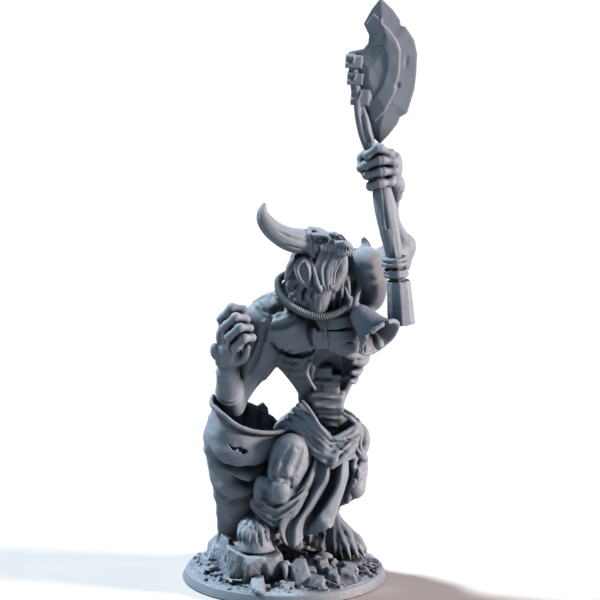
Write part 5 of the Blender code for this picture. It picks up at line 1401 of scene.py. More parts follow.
def skirt_columns():
    """The skirt from beside the raised thigh, out over the left side in the wind, and round the back."""
    return (
        ((1.0, -5.6, 35.6), (-2.4, -6.4, 31.0), (-3.4, -5.6, 24.0), (-4.4, -4.4, 17.5), (-5.4, -3.6, 13.5)),
        ((-5.3, -8.0, 36.0), (-6.0, -9.6, 31.5), (-6.6, -8.0, 26.0), (-6.8, -6.6, 19.5), (-6.8, -4.8, 13.0)),
        (
            (-10.6, -8.8, 37.2), (-11.2, -10.4, 32.5), (-11.2, -8.8, 26.5), (-10.6, -7.0, 19.5),
            (-10.2, -3.6, 7.4)
        ),
        (
            (-14.8, -7.8, 40.5), (-16.6, -8.4, 34.0), (-15.8, -7.2, 27.5), (-14.6, -6.0, 20.0),
            (-13.4, -3.8, 7.6)
        ),
        (
            (-17.0, -3.0, 42.4), (-19.5, -3.4, 33.0), (-18.8, -3.0, 27.0), (-17.2, -2.4, 19.0),
            (-16.4, -1.4, 8.4)
        ),
        ((-14.4, 2.6, 42.0), (-17.4, 3.2, 34.0), (-16.4, 3.6, 26.0), (-15.0, 3.4, 19.0), (-13.8, 3.4, 8.0)),
        ((-9.2, 3.6, 40.4), (-10.6, 5.6, 34.0), (-10.2, 6.6, 26.0), (-9.2, 7.0, 18.0), (-8.4, 7.4, 5.6)),
        ((-4.9, 4.6, 38.0), (-4.8, 8.0, 32.0), (-4.2, 9.4, 25.0), (-3.6, 10.0, 17.0), (-3.2, 10.4, 4.4)),
        ((0.3, 6.2, 35.2), (1.2, 9.6, 31.0), (2.0, 11.4, 24.0), (2.8, 11.4, 16.0), (3.0, 11.2, 4.4)),
        ((7.0, 8.2, 37.6), (8.0, 11.0, 32.0), (9.0, 12.2, 25.0), (9.4, 12.0, 18.0), (9.5, 11.6, 4.2)),
        ((12.6, 7.8, 37.8), (14.2, 10.6, 32.0), (15.4, 11.0, 26.0), (15.8, 10.6, 20.0), (14.6, 10.0, 13.6)),
        ((16.6, 4.6, 36.6), (18.6, 6.4, 32.6), (19.2, 6.4, 28.0), (18.3, 6.0, 23.0), (16.9, 5.6, 17.5)),
        ((17.6, 0.2, 35.6), (19.0, 0.6, 32.6), (18.6, 0.2, 28.0), (18.6, -0.2, 23.5), (16.4, -0.6, 18.2)),
        ((16.8, -3.6, 33.8), (18.2, -4.0, 30.8), (17.8, -4.4, 27.0), (17.4, -4.4, 23.5), (16.2, -4.2, 19.6)),
    )


def skirt_hem(u):
    """The skirt's hem, a little uneven."""
    return 1 - 0.014 * np.abs(np.sin(2.3 * u + 0.6)) - 0.010 * np.abs(np.sin(7.1 * u))


def skirt_whole(u, v):
    """The skirt's tear, under the rolled rim."""
    slit = ((u - 2.0) / 0.42) ** 2 + ((v - 0.236 + 0.012 * np.sin(11 * u)) / 0.014) ** 2 > 1
    wide = ((u - 1.75) / 0.2) ** 2 + ((v - 0.246) / 0.024) ** 2 > 1
    return slit & wide


def flap_columns():
    """The torn front of the loincloth, ridge beside valley, swept under the raised knee."""
    return (
        (
            (16.4, -4.6, 31.0), (15.9, -5.2, 25.4), (14.4, -6.4, 20.4), (12.9, -7.4, 16.6),
            (12.1, -8.0, 14.4), (11.6, -8.8, 12.9)
        ),
        (
            (15.3, -7.9, 30.3), (15.1, -8.9, 24.9), (13.4, -9.7, 19.8), (12.0, -10.1, 16.0),
            (11.7, -10.4, 14.4), (11.4, -10.6, 12.7)
        ),
        (
            (14.0, -9.6, 30.2), (13.5, -10.6, 24.5), (11.1, -11.3, 19.5), (8.9, -11.8, 16.4),
            (9.7, -11.6, 14.6), (10.8, -11.4, 12.7)
        ),
        (
            (12.9, -8.8, 30.2), (12.3, -9.2, 23.4), (9.6, -10.0, 18.2), (7.4, -10.8, 14.6),
            (7.5, -10.8, 12.6), (7.7, -10.8, 11.0)
        ),
        (
            (12.0, -7.5, 30.2), (11.2, -7.5, 22.6), (8.1, -8.2, 17.6), (5.5, -9.2, 13.2), (5.1, -9.7, 11.2),
            (5.2, -10.0, 9.4)
        ),
        (
            (11.0, -9.0, 30.2), (10.9, -9.8, 24.8), (7.7, -10.6, 19.2), (4.2, -11.6, 13.8),
            (3.7, -11.6, 11.2), (3.8, -11.4, 8.9)
        ),
        (
            (10.0, -9.7, 30.4), (10.1, -10.8, 26.4), (6.9, -11.8, 20.5), (3.2, -12.6, 14.6),
            (2.6, -12.5, 11.2), (2.6, -12.3, 8.4)
        ),
        (
            (9.0, -8.6, 31.0), (8.6, -9.2, 26.8), (6.2, -10.0, 21.8), (2.8, -11.0, 16.6), (1.1, -11.6, 12.2),
            (1.5, -11.8, 8.5)
        ),
        (
            (8.0, -9.0, 32.2), (7.8, -10.0, 28.6), (5.8, -11.4, 23.6), (2.6, -12.6, 18.6),
            (-0.2, -13.2, 13.4), (0.6, -12.6, 8.9)
        ),
        (
            (7.0, -8.6, 33.2), (7.1, -9.8, 29.6), (5.3, -11.2, 25.0), (2.1, -12.8, 20.8), (-1.3, -13.4, 14.9),
            (-0.2, -12.4, 9.4)
        ),
        (
            (6.0, -6.0, 33.2), (5.9, -7.4, 29.0), (4.2, -8.8, 24.6), (1.2, -10.6, 20.4), (-1.6, -11.4, 14.8),
            (-0.2, -10.8, 9.6)
        ),
    )


def flap_fold(u, v, points):
    """Creases that run down the loincloth between its ridges."""
    flat = points.reshape(-1, 3)
    creases = lattice_noise(flat, (2.2, 2.2, 6.0), 91).reshape(u.shape)
    fine = lattice_noise(flat, (0.9, 0.9, 3.0), 92).reshape(u.shape)
    return 0.30 * creases + 0.05 * fine, np.zeros_like(u)


def flap_hem(u):
    """The loincloth's hem, cut up in its middle."""
    return 0.99 - 0.10 * np.exp(-(((u - 4.0) / 0.8) ** 2)) - 0.04 * np.abs(np.sin(4.1 * u))


def flap_whole(u, v):
    """The split from the hem upwards, and the torn edge beside it."""
    split = (np.abs(u - 3.9 - 0.6 * (v - 0.8)) > 0.55 * (v - 0.74)) | (v < 0.74)
    edge = (np.abs(u - 8.7) > 0.4 * (v - 0.88)) | (v < 0.88)
    return split & edge


def make_cloth(material):
    for name, columns, grid, fold, hem, whole, thickness in (
        ("skirt", skirt_columns(), (200, 96), skirt_fold, skirt_hem, skirt_whole, 0.9),
        ("loincloth", flap_columns(), (92, 100), flap_fold, flap_hem, flap_whole, 0.8),
    ):
        lay_cloth(name, material, columns, grid, fold, hem, whole, thickness)


def make_wrap(material):
    """The twisted wrap round the hips, its collar round the bare spine, and its loose pointed end."""
    clay = Clay((-19.8, -13, 16.5), (21.8, 11, 47.6), grain=0.25)
    # The cloth under its folds.
    clay.limb(
        (-0.2, -3.0, 36.0, 1.6), (3.0, -6.2, 36.8, 1.9), (7.4, -7.2, 34.4, 2.1), (11.0, -7.8, 31.8, 2.0),
        (15.0, -6.6, 32.2, 1.9), (17.0, -3.0, 34.4, 1.8), k=0.8
    )
    clay.limb((3.6, -5.0, 40.0, 1.2), (6.8, -6.6, 37.6, 1.4), (10.2, -7.4, 34.4, 1.5), k=0.8)
    folds = 6
    left = np.array(((-1.6, -3.4, 34.6), (-0.4, -4.6, 37.4), (2.6, -5.8, 41.0)))
    waist = np.array(((6.8, -9.6, 31.4), (7.6, -9.4, 34.2), (8.6, -8.6, 37.6)))
    middle = np.array(((11.0, -10.3, 28.9), (11.0, -10.2, 31.6), (11.6, -9.4, 34.8)))
    right = np.array(((17.2, -6.4, 30.0), (17.4, -6.2, 33.2), (17.4, -5.4, 37.0)))
    far = np.array(((18.6, -1.6, 31.0), (18.6, -1.4, 34.0), (17.8, -1.2, 37.4)))
    for i in range(folds):
        share = i / (folds - 1) * 2
        path = []
        for j, lines in enumerate((left, waist, middle, right, far)):
            x, y, z = (np.interp(share, (0, 1, 2), lines[:, a]) for a in range(3))
            path.append((x, y, z, 0.62 * (1 + 0.18 * math.sin(2.1 * j + 1.7 * i))))
        clay.limb(*path, k=0.35, steps=6)
    clay.limb(
        (1.0, -6.6, 38.0, 0.5), (4.8, -8.8, 34.4, 0.6), (8.0, -10.4, 31.6, 0.6), (12.0, -10.8, 31.0, 0.5),
        (15.6, -8.4, 33.2, 0.5), k=0.3, steps=6
    )
    back = (
        (
            (18.0, -2.0, 33.6, 1.6), (17.2, 3.4, 35.0, 1.6), (12.8, 7.6, 36.6, 1.7), (6.6, 7.9, 36.8, 1.7),
            (1.4, 4.6, 36.2, 1.6), (-1.2, -1.0, 35.4, 1.4)
        ),
        (
            (17.4, -2.0, 36.0, 1.2), (16.0, 3.0, 37.0, 1.2), (12.0, 6.8, 38.2, 1.2), (6.8, 7.0, 38.4, 1.2),
            (2.8, 4.2, 38.2, 1.2), (1.8, -1.0, 37.8, 1.1)
        ),
    )
    for path in back:
        clay.limb(*path, k=0.3, steps=6)
    # The collar: a thin raised lip at the left and a ring at the right of the hollow.
    clay.limb(
        (4.4, -6.4, 43.3, 0.4), (5.9, -7.3, 41.6, 0.5), (7.6, -8.4, 39.2, 0.5), (9.2, -9.2, 36.8, 0.5),
        (10.8, -9.8, 35.2, 0.4), k=0.25
    )
    clay.limb(
        (3.6, -4.6, 41.6, 0.9), (5.2, -6.4, 39.8, 1.1), (7.4, -7.8, 37.4, 1.1), (9.0, -8.6, 35.8, 0.9), k=0.6
    )
    clay.limb(
        (14.2, -6.0, 40.2, 0.45), (16.2, -6.2, 38.9, 0.6), (17.4, -5.6, 37.2, 0.65), (16.8, -7.2, 35.6, 0.65),
        (14.6, -8.8, 34.8, 0.6), (12.2, -9.6, 34.8, 0.5), k=0.3
    )
    clay.limb((16.8, -3.4, 37.4, 0.9), (17.8, -3.6, 35.8, 1.1), (17.8, -3.6, 33.8, 1.2), k=0.5)
    # The loose end folds back on itself in a V.
    clay.limb(
        (12.6, -10.2, 31.6, 0.85), (12.0, -10.9, 29.8, 0.8), (11.4, -11.2, 28.0, 0.3), k=0.3, thin=(0, 1, 0),
        flat=1.6
    )
    clay.limb(
        (16.4, -8.2, 32.4, 0.85), (14.2, -10.0, 30.2, 0.8), (11.6, -11.2, 27.9, 0.35), k=0.2, thin=(0, 1, 0),
        flat=1.5
    )
    for x, z in ((1.8, 37.4), (4.6, 36.4), (7.6, 34.2), (13.4, 32.4), (16.0, 33.8)):
        clay.groove(((x - 1.2, z + 1.0), (x, z), (x + 1.6, z - 0.8)), 0.22, 0.25, k=0.3)
    press_rags(clay)
    press_rolled_rim(clay)

    def weave(points):
        return 0.05 * lattice_noise(points, 0.8, 101) + 0.08 * lattice_noise(points, (2.4, 2.4, 0.8), 102)

    return cast(clay, "wrap", "minotaur", material, weave)


def press_rags(clay):
    """The bunched rag that sticks out over the figure's left hip."""
    clay.limb(
        (17.6, -0.6, 36.0, 1.3), (19.2, -2.4, 34.2, 1.4), (19.4, -3.4, 31.6, 1.3), (18.4, -4.4, 29.4, 0.9),
        k=0.4
    )
    clay.limb(
        (18.2, -4.8, 34.0, 0.8), (17.6, -6.0, 31.8, 1.1), (18.6, -5.0, 29.6, 1.2), (19.4, -3.4, 28.2, 1.0),
        k=0.3
    )
    clay.limb(
        (17.4, -6.2, 29.6, 0.8), (16.8, -6.6, 27.6, 0.9), (17.6, -5.6, 25.6, 1.1), (17.0, -5.2, 23.4, 0.9),
        k=0.3
    )
    clay.limb(
        (18.4, -3.6, 28.0, 1.2), (17.4, -4.6, 25.0, 1.3), (16.4, -4.6, 21.6, 1.1), (15.2, -4.6, 18.0, 0.8),
        k=0.3
    )
    clay.ball((17.4, -2.6, 27.0), (1.8, 2.0, 2.6), (0, 10, 0), k=0.3)
    clay.ball((17.5, -3.0, 24.2), (2.1, 2.0, 2.1), (0, 14, 0), k=0.3)
    clay.ball((19.3, -4.0, 31.0), (1.1, 1.1, 0.9), (0, 20, 0), k=0.2)
    for line in (
        ((18.4, 34.2), (18.0, 32.2), (18.8, 30.4)), ((17.2, 31.2), (17.9, 29.2), (17.2, 27.2)),
        ((17.9, 27.4), (17.2, 25.4), (16.8, 23.6)),
        ((16.6, 24.8), (17.6, 23.8), (17.8, 22.4)),
    ):
        clay.groove(line, 0.35, 0.55, k=0.25)


def press_rolled_rim(clay):
    """The thin rolled lip of the skirt where it hangs in front of the elbow, and the layer behind it."""
    clay.limb(
        (-17.2, -2.6, 43.6, 0.6), (-17.4, -6.0, 42.5, 0.65), (-14.8, -8.6, 40.6, 0.6),
        (-10.8, -9.6, 37.8, 0.62),
        (-6.4, -9.2, 36.4, 0.6), (-2.2, -8.0, 35.9, 0.6), (0.8, -6.6, 36.2, 0.7), k=0.4, steps=6,
    )
    clay.limb(
        (-16.8, -3.0, 42.8, 0.7), (-14.4, 2.6, 42.2, 0.8), (-9.2, 3.6, 40.2, 0.7), (-4.4, 4.2, 38.0, 0.6),
        k=0.4
    )
    clay.slab((-5.2, 3.8, 39.3), (0.8, 0.5, 1.2), (0, -36, 0), corner=0.15, k=0.2)


# Base


def plane_set(corners):
    """The planes that bound the hull of some corners."""
    lump = bmesh.new()
    for corner in corners:
        lump.verts.new(corner)
    bmesh.ops.convex_hull(lump, input=lump.verts)
    lump.normal_update()
    centre = np.mean(np.array(corners, float), axis=0)
    planes = []
    for face in lump.faces:
        normal = np.array(face.normal)
        if normal @ (np.array(face.verts[0].co) - centre) < 0:
            normal = -normal
        planes.append((normal, normal @ np.array(face.verts[0].co)))
    lump.free()
    return planes


def press_hull(clay, corners, k=0.15, roughness=0.0, seed=1, away=False):
    """A faceted stone: the hull of its corners, with a little wear on its faces."""
    p = np.array(corners, float)
    cut = clay.window(p.min(0) - 1, p.max(0) + 1)
    x, y, z = clay.places(cut)
    near = np.full(np.broadcast(x, y, z).shape, -FAR, np.float32)
    for normal, reach in plane_set(corners):
        nx, ny, nz = normal.astype(np.float32)
        near = np.maximum(near, x * nx + y * ny + z * nz - np.float32(reach))
    if roughness:
        full = np.stack([np.broadcast_to(a, near.shape).ravel() for a in (x, y, z)], axis=1)
        near = near + roughness * (
            lattice_noise(full, (1.3, 1.3, 2.6), seed) + 0.5 * lattice_noise(full, 0.6, seed + 1)
        ).reshape(near.shape)
    clay.merge(cut, near, k, away)


def press_chip(clay, place, size, draw, k=0.08):
    """A small broken stone."""
    spin = turn_matrix((draw.uniform(-40, 40), draw.uniform(-40, 40), draw.uniform(0, 360)))
    corners = []
    for i in (-1, 1):
        for j in (-1, 1):
            for h in (-1, 1):
                corner = np.array((i * size[0], j * size[1], h * size[2])) * draw.uniform(0.6, 1.05)
                corners.append(tuple(np.array(place) + spin @ corner))
    press_hull(clay, corners, k=k)


def make_ground(material):
    """The rubble on the base: the hoof's rock, slabs, a spire and chips on rough ground."""
    clay = Clay((-24.6, -24.6, -0.9), (24.6, 24.6, 11.4), grain=0.31)
    reach = (BASE_RADIUS - BASE_BEVEL) / UNIT
    cut = clay.window(clay.low, clay.low + 100)
    x, y, z = clay.places(cut)
    across = clay.size[:2]
    flat = [np.broadcast_to(a, across).ravel() for a in (x[:, :, 0], y[:, :, 0])]
    flat = np.column_stack([*flat, np.zeros(len(flat[0]))])
    height = 0.12 * lattice_noise(flat, 3.0, 111) + 0.12 * lattice_noise(flat, 1.1, 112)
    height = height + 0.06 * lattice_noise(flat, 0.5, 113)
    height = height.reshape(*across, 1) + rubble_depth(x[:, :, :1], y[:, :, :1])
    round_edge = np.sqrt(x**2 + y**2) - (reach - 0.3)
    clay.d = np.maximum(np.maximum((z - 0.15 - height) * 0.8, round_edge), -0.5 - z).astype(np.float32)
    press_hoof_rock(clay)
    press_left_stones(clay)
    press_right_stones(clay)
    scatter_rubble(clay, reach)
    press_bones(clay)

    def grit(points):
        return 0.07 * lattice_noise(points, 0.7, 121) + 0.03 * lattice_noise(points, 0.35, 122)

    return cast(clay, "ground", "base", material, grit)


def press_hoof_rock(clay):
    """The rock under the raised hoof: broken crags with upright faces, and a toe that runs to the rim."""
    top = SOLE_R[2] - 0.3
    crags = (
        (
            (-15.5, -6.0, 10.3), (-13.4, -8.4, 9.2), (-12.6, -4.6, 8.8), (-16.2, -7.4, 5.6),
            (-13.0, -15.6, SUNK), (-14.8, -12.0, SUNK), (-10, -4, SUNK), (-16.4, -4, SUNK)
        ),
        (
            (-14.3, -9.8, 8.9), (-13.6, -12.6, 8.5), (-11.0, -15.6, 7.9), (-9.4, -16.4, top),
            (-9.0, -10.0, top), (-14.6, -10, SUNK), (-13.0, -13.4, SUNK), (-11.2, -14.8, SUNK),
            (-9.2, -15.0, SUNK), (-8, -12, SUNK)
        ),
        (
            (-10.2, -15.8, top - 0.1), (-4.8, -17.0, top), (-8, -9, top), (-4, -8, top), (-8.6, -17.9, 5.6),
            (-9.8, -16.0, SUNK), (-8.2, -16.4, SUNK), (-5.6, -15.6, SUNK), (-4, -15.0, SUNK), (-9, -8, SUNK),
            (-3, -8, SUNK)
        ),
        (
            (-5.4, -16.4, top - 0.1), (-1.6, -16.0, top - 0.2), (-0.6, -12.2, top - 0.3),
            (-2.0, -6.0, top - 0.2), (-7, -6, top), (-4.0, -17.2, 5.0), (-5.6, -15.4, SUNK),
            (-1.4, -14.8, SUNK), (0.8, -13.4, SUNK), (1.0, -9, SUNK), (-2.4, -4, SUNK), (-9, -4, SUNK)
        ),
        (
            (-8.0, -18.4, 2.6), (-5.0, -18.0, 3.2), (-7.4, -22.6, 1.2), (-4.8, -22.8, 0.6),
            (-8.4, -21.6, SUNK), (-4.2, -21.8, SUNK), (-6, -16, 3.2), (-6, -16, SUNK)
        ),
    )
    for i, corners in enumerate(crags):
        press_hull(clay, corners, k=0.04, roughness=0.06, seed=5 + 2 * i)
    clay.ball((-6.0, -22.4, 0.3), (1.3, 1.0, 0.9), (0, 10, 0), k=0.1)
    # Wedges broken out of the faces.
    for corners in (
        (
            (-11.8, -15.6, 8.4), (-10.6, -16.6, 8.4), (-11.9, -19.8, 1.6), (-12.8, -19.4, 8.4),
            (-11.6, -18.6, 2.2), (-10.4, -21, 8)
        ),
        (
            (-10.0, -16.4, 6.0), (-8.4, -18.2, 6.4), (-9.2, -22.0, 2.0), (-8.2, -22.4, 6.0),
            (-10.4, -20.0, 5.8), (-8.8, -17.8, 3.4)
        ),
        (
            (-4.2, -16.6, 6.4), (-2.6, -17.2, 6.6), (-3.2, -21.0, 1.0), (-4.8, -21.0, 5.0),
            (-2.0, -20.6, 5.2), (-3.4, -17.6, 2.6)
        ),
        (
            (-14.9, -8.6, 9.8), (-13.8, -9.6, 9.8), (-14.3, -12.6, 3.2), (-16.4, -11.4, 9.0),
            (-14.0, -10.4, 4.4), (-14.8, -15.0, 8.0)
        ),
    ):
        press_hull(clay, corners, k=0.04, roughness=0.08, seed=19, away=True)


def press_left_stones(clay):
    """The heap at the left: slabs broken in layers, a fan of ribs and sticks."""
    for i, corners in enumerate((
        (
            (-16.0, 0.2, 9.0), (-13.4, 0.4, 8.8), (-18.9, 1.4, 5.8), (-17.0, -2.0, 6.2), (-11.6, -2.0, 5.6),
            (-11.6, 6.0, 4.6), (-19.4, 4.0, SUNK), (-18.6, -3.4, SUNK), (-10.0, -2.4, SUNK), (-9.6, 6.6, SUNK)
        ),
        (
            (-17.8, -3.6, 5.6), (-14.4, -4.6, 6.6), (-13.8, -1.6, 7.0), (-17.6, -1.0, 6.2),
            (-18.6, -5.4, 3.2), (-14.4, -6.6, 3.2), (-13.6, -1, 3), (-19, -1, 3)
        ),
        (
            (-18.9, -4.6, 3.2), (-14.4, -6.8, 3.4), (-14.0, -3.0, 3.2), (-19.6, -2.0, 3.0),
            (-19.8, -6.6, SUNK), (-14.6, -9.4, SUNK), (-13.6, -2, SUNK), (-20.4, -1.4, SUNK)
        ),
    )):
        press_hull(clay, corners, k=0.04, roughness=0.08, seed=7 + 3 * i)
    for i in range(6):
        x = -18.0 + 0.72 * i
        clay.groove(((x, 3.0 - 0.12 * i), (x + 0.3, 4.6), (x + 0.5, 6.0 + 0.1 * i)), 0.16, 0.35, k=0.04)
    clay.slab((-18.6, -8.0, 1.2), (0.9, 0.9, 0.9), (0, 0, 20), corner=0.1, k=0.05)
    clay.slab((-18.6, -9.0, 1.2), (0.45, 0.9, 0.5), (0, 0, 20), corner=0.1, k=0.05, away=True)
    for i in range(7):
        angle = math.radians(10 + 24 * i)
        clay.limb(
            (-16.6, -8.6, 0.9, 0.3), (-16.6 + 1.7 * math.cos(angle), -9.4, 1.0 + 1.7 * math.sin(angle), 0.34),
            (-16.6 + 2.6 * math.cos(angle), -9.0, 0.7 + 2.3 * math.sin(angle), 0.16), k=0.06,
        )
    for i in range(6):
        x = -19.6 + 0.9 * i
        clay.limb(
            (x, -6.8 - 0.7 * i, 0.9, 0.26), (x + 1.8, -7.6 - 0.9 * i, 1.5 + 0.1 * (i % 3), 0.3),
            (x + 3.0, -8.6 - 0.8 * i, 0.6, 0.2), k=0.06
        )


def press_right_stones(clay):
    """The tilted slabs, the smooth pebble, the block and the flat strata under the standing hoof."""
    press_hull(clay, (
        (1.4, -15.4, 5.2), (2.8, -12.8, 6.2), (5.2, -13.0, 6.0), (5.4, -15.6, 4.8), (7.4, -18.6, SUNK),
        (3.4, -19.6, SUNK), (1.4, -17.2, SUNK), (2.4, -11.8, SUNK), (6.0, -12.2, SUNK)
    ), k=0.05, roughness=0.05, seed=21)
    press_hull(clay, (
        (5.8, -18.6, 1.8), (9.2, -19.6, 1.5), (9.6, -16.4, 2.6), (6.4, -15.4, 3.0), (5.4, -20.6, SUNK),
        (10.4, -20.6, SUNK), (10.4, -15, SUNK), (5.6, -14.6, SUNK)
    ), k=0.05, roughness=0.05, seed=23)
    press_hull(clay, (
        (5.2, -14.2, 3.6), (7.8, -14.4, 3.2), (7.6, -12.2, 3.8), (5.4, -12.2, 4.0), (5.2, -14.8, 1.4),
        (8.2, -14.8, 1.2), (8, -11.6, 0), (5, -11.6, 0)
    ), k=0.05, roughness=0.05, seed=25)
    clay.ball((9.9, -7.4, 4.9), (2.0, 1.5, 0.9), (0, 8, 0), k=0.05)
    press_hull(clay, (
        (13.4, -14.4, 3.0), (17.0, -14.6, 2.4), (16.8, -11.8, 3.0), (13.6, -11.8, 3.4), (13.0, -15.2, SUNK),
        (17.8, -15.2, SUNK), (17.6, -11, SUNK), (13, -11, SUNK)
    ), k=0.2, roughness=0.14, seed=27)
    for i, corners in enumerate((
        (
            (10.6, -15.8, 3.2), (13.0, -16.6, 2.6), (12.6, -13.4, 3.6), (10.4, -13.2, 4.0),
            (10.2, -17.0, SUNK), (13.8, -17.6, SUNK), (13.4, -12.4, SUNK), (9.8, -12.4, SUNK)
        ),
        (
            (8.4, -12.6, 5.0), (10.6, -11.8, 5.2), (10.2, -9.8, 5.6), (8.0, -10.4, 5.0), (8.0, -13.4, 1),
            (11.4, -12.4, 1), (11.0, -9, 1), (7.6, -9.6, 1)
        ),
        (
            (15.0, -11.0, 3.4), (17.4, -10.2, 3.0), (16.2, -8.4, 3.8), (14.0, -9.2, 4.2), (14.8, -12.0, 0),
            (18.2, -10.6, 0), (16.6, -7.4, 0), (13.2, -8.6, 0)
        ),
        (
            (-4.6, 7.4, 5.6), (-1.6, 8.0, 6.2), (-2.4, 10.8, 5.4), (-5.4, 10.4, 4.8), (-6.0, 6.4, SUNK),
            (-0.6, 6.6, SUNK), (-1.2, 12.2, SUNK), (-6.8, 11.6, SUNK)
        ),
        (
            (1.2, 8.6, 6.6), (3.8, 8.2, 5.8), (4.6, 10.8, 5.4), (1.4, 11.4, 6.0), (-0.4, 7.4, SUNK),
            (5.0, 7.0, SUNK), (5.8, 12.2, SUNK), (0.2, 12.8, SUNK)
        ),
        (
            (6.2, 9.2, 6.4), (8.8, 8.6, 5.6), (9.2, 11.0, 5.0), (6.4, 11.8, 5.8), (5.2, 8.0, SUNK),
            (10.2, 7.4, SUNK), (10.4, 12.2, SUNK), (5.4, 12.8, SUNK)
        ),
    )):
        press_hull(clay, corners, k=0.04, roughness=0.1, seed=61 + 2 * i)
    for x, y, turn in ((-1.2, 10.2, 30), (5.2, 10.0, -20), (9.4, 10.0, 55)):
        clay.slab((x, y, 3.6), (1.5, 1.1, 2.6), (12, 10, turn), corner=0.2, k=0.1)
    x, y, z = SOLE_L
    for i, (radius, height) in enumerate(((6.4, 0.6), (5.9, 1.2), (5.4, 1.75), (5.0, z - 0.3))):
        corners = []
        for h in (SUNK, height):
            for j in range(9):
                angle = 2 * math.pi * (j + 0.31 * i) / 9
                out = radius * (1 + 0.07 * math.cos(3 * angle + i))
                corners.append((x + out * math.cos(angle), y + out * math.sin(angle), h))
        press_hull(clay, corners, k=0.03, roughness=0.05, seed=31 + i)
    for i in range(5):
        a = -1.5 + 0.33 * i
        clay.slab(
            (x + 6.1 * math.cos(a), y + 6.1 * math.sin(a), 1.2 + 0.1 * (i % 2)), (2.0, 0.7, 0.22),
            (6 * (i % 3 - 1), 12, math.degrees(a)), corner=0.08, k=0.05,
        )


def press_bones(clay):
    """Small skulls, sticks and a long tooth among the stones."""
    for x, y, z, size in (
        (12.4, -15.6, 1.9, 1.1), (17.2, -9.6, 1.8, 1.0), (-0.4, -18.6, 1.3, 0.9), (11.2, -12.6, 2.4, 0.9)
    ):
        clay.ball((x, y, z), (size, size * 1.1, size * 0.95), k=0.1)
        clay.ball(
            (x + 0.2 * size, y - 0.9 * size, z - 0.55 * size), (size * 0.55, size * 0.6, size * 0.5), k=0.15
        )
        for side in (-1, 1):
            clay.ball(
                (x + 0.42 * size * side, y - 1.0 * size, z + 0.1), (0.32 * size, 0.4 * size, 0.3 * size),
                k=0.05, away=True
            )
    for a, b, radius in (
        ((-13.6, -14.2, 1.0), (-10.2, -17.2, 1.6), 0.34), ((-14.6, -12.6, 0.9), (-12.6, -16.0, 0.8), 0.3),
        ((4.0, -17.8, 0.9), (8.4, -21.0, 0.8), 0.3), ((16.2, -7.4, 1.4), (20.6, -9.4, 1.1), 0.36),
        ((9.8, -17.2, 1.6), (13.4, -19.2, 0.8), 0.3), ((-20.8, -4.6, 0.8), (-17.4, -8.6, 1.4), 0.3),
        ((18.4, 4.0, 1.0), (20.8, -2.0, 1.2), 0.35), ((2.0, 18.0, 0.9), (7.6, 16.4, 1.1), 0.4),
        ((-6, 14, 0.9), (-9.6, 10.4, 1.3), 0.4),
    ):
        clay.limb(
            (*a, radius * 1.4), (*between(a, b, 0.15), radius), (*between(a, b, 0.85), radius),
            (*b, radius * 1.3), k=0.1, steps=3
        )
    # The jaw and its long tooth that hang beside the rock.
    clay.limb(
        (-0.4, -15.6, 5.2, 0.7), (0.2, -15.9, 4.0, 0.8), (0.2, -16.4, 2.2, 0.5), (0.1, -16.6, 0.9, 0.15),
        k=0.15
    )
    clay.ball((0.3, -15.4, 5.4), (1.1, 0.8, 0.8), k=0.2)
    clay.ball((0.6, -16.2, 5.5), (0.35, 0.4, 0.3), k=0.05, away=True)
    # A little claw that reaches up in the gap behind the cloth.
    clay.limb((4.4, -8.6, 0.4, 0.5), (4.6, -8.6, 3.4, 0.35), (3.8, -8.8, 5.4, 0.2), k=0.1)
    clay.limb((4.6, -8.6, 3.2, 0.3), (5.6, -8.6, 4.8, 0.22), (5.4, -8.8, 6.2, 0.15), k=0.1)


def rubble_depth(x, y):
    """How high the rubble is heaped at a place on the base."""
    between_feet = 3.6 * np.exp(-((x - 7) ** 2) / 26 - (y + 7) ** 2 / 34)
    at_the_left = 2.4 * np.exp(-((x + 16.5) ** 2) / 14 - (y + 4) ** 2 / 26)
    behind = 3.4 * np.exp(-((x - 1) ** 2) / 60 - (y - 9) ** 2 / 22)
    at_the_right = 1.6 * np.exp(-((x - 12) ** 2) / 30 - (y + 12) ** 2 / 20)
    return between_feet + at_the_left + behind + at_the_right


def scatter_rubble(clay, reach):
    """Broken stones over the ground, small at the rim and heaped between the feet."""
    stones = 640
    rim = 0.84 * reach
    small = 0.65
    draw = random.Random(17)
    made = 0
    while made < stones:
        out = reach * math.sqrt(draw.uniform(0.01, 1.0))
        angle = draw.uniform(0, 2 * math.pi)
        x, y = out * math.cos(angle), out * math.sin(angle)
        size = draw.choice((0.4, 0.5, 0.65, 0.85, 1.1, 1.5))
        if out > rim:
            size = min(size, small)
        off_left = math.hypot(x - SOLE_L[0], y - SOLE_L[1]) > 4.9 + size
        off_right = math.hypot(x - SOLE_R[0], y - SOLE_R[1]) > 5.4 + size
        if not (off_left and off_right) or out + size > reach - 0.1:
            continue
        made += 1
        height = rubble_depth(x, y) + 0.25 * size
        shape = (
            size * draw.uniform(0.8, 1.25), size * draw.uniform(0.6, 1.0), size * draw.uniform(0.45, 0.9)
        )
        if draw.random() < 0.12:
            clay.ball((x, y, height), [0.8 * n for n in shape], (0, 0, draw.uniform(0, 180)), k=0.05)
        else:
            press_chip(clay, (x, y, height), shape, draw, 0.03)


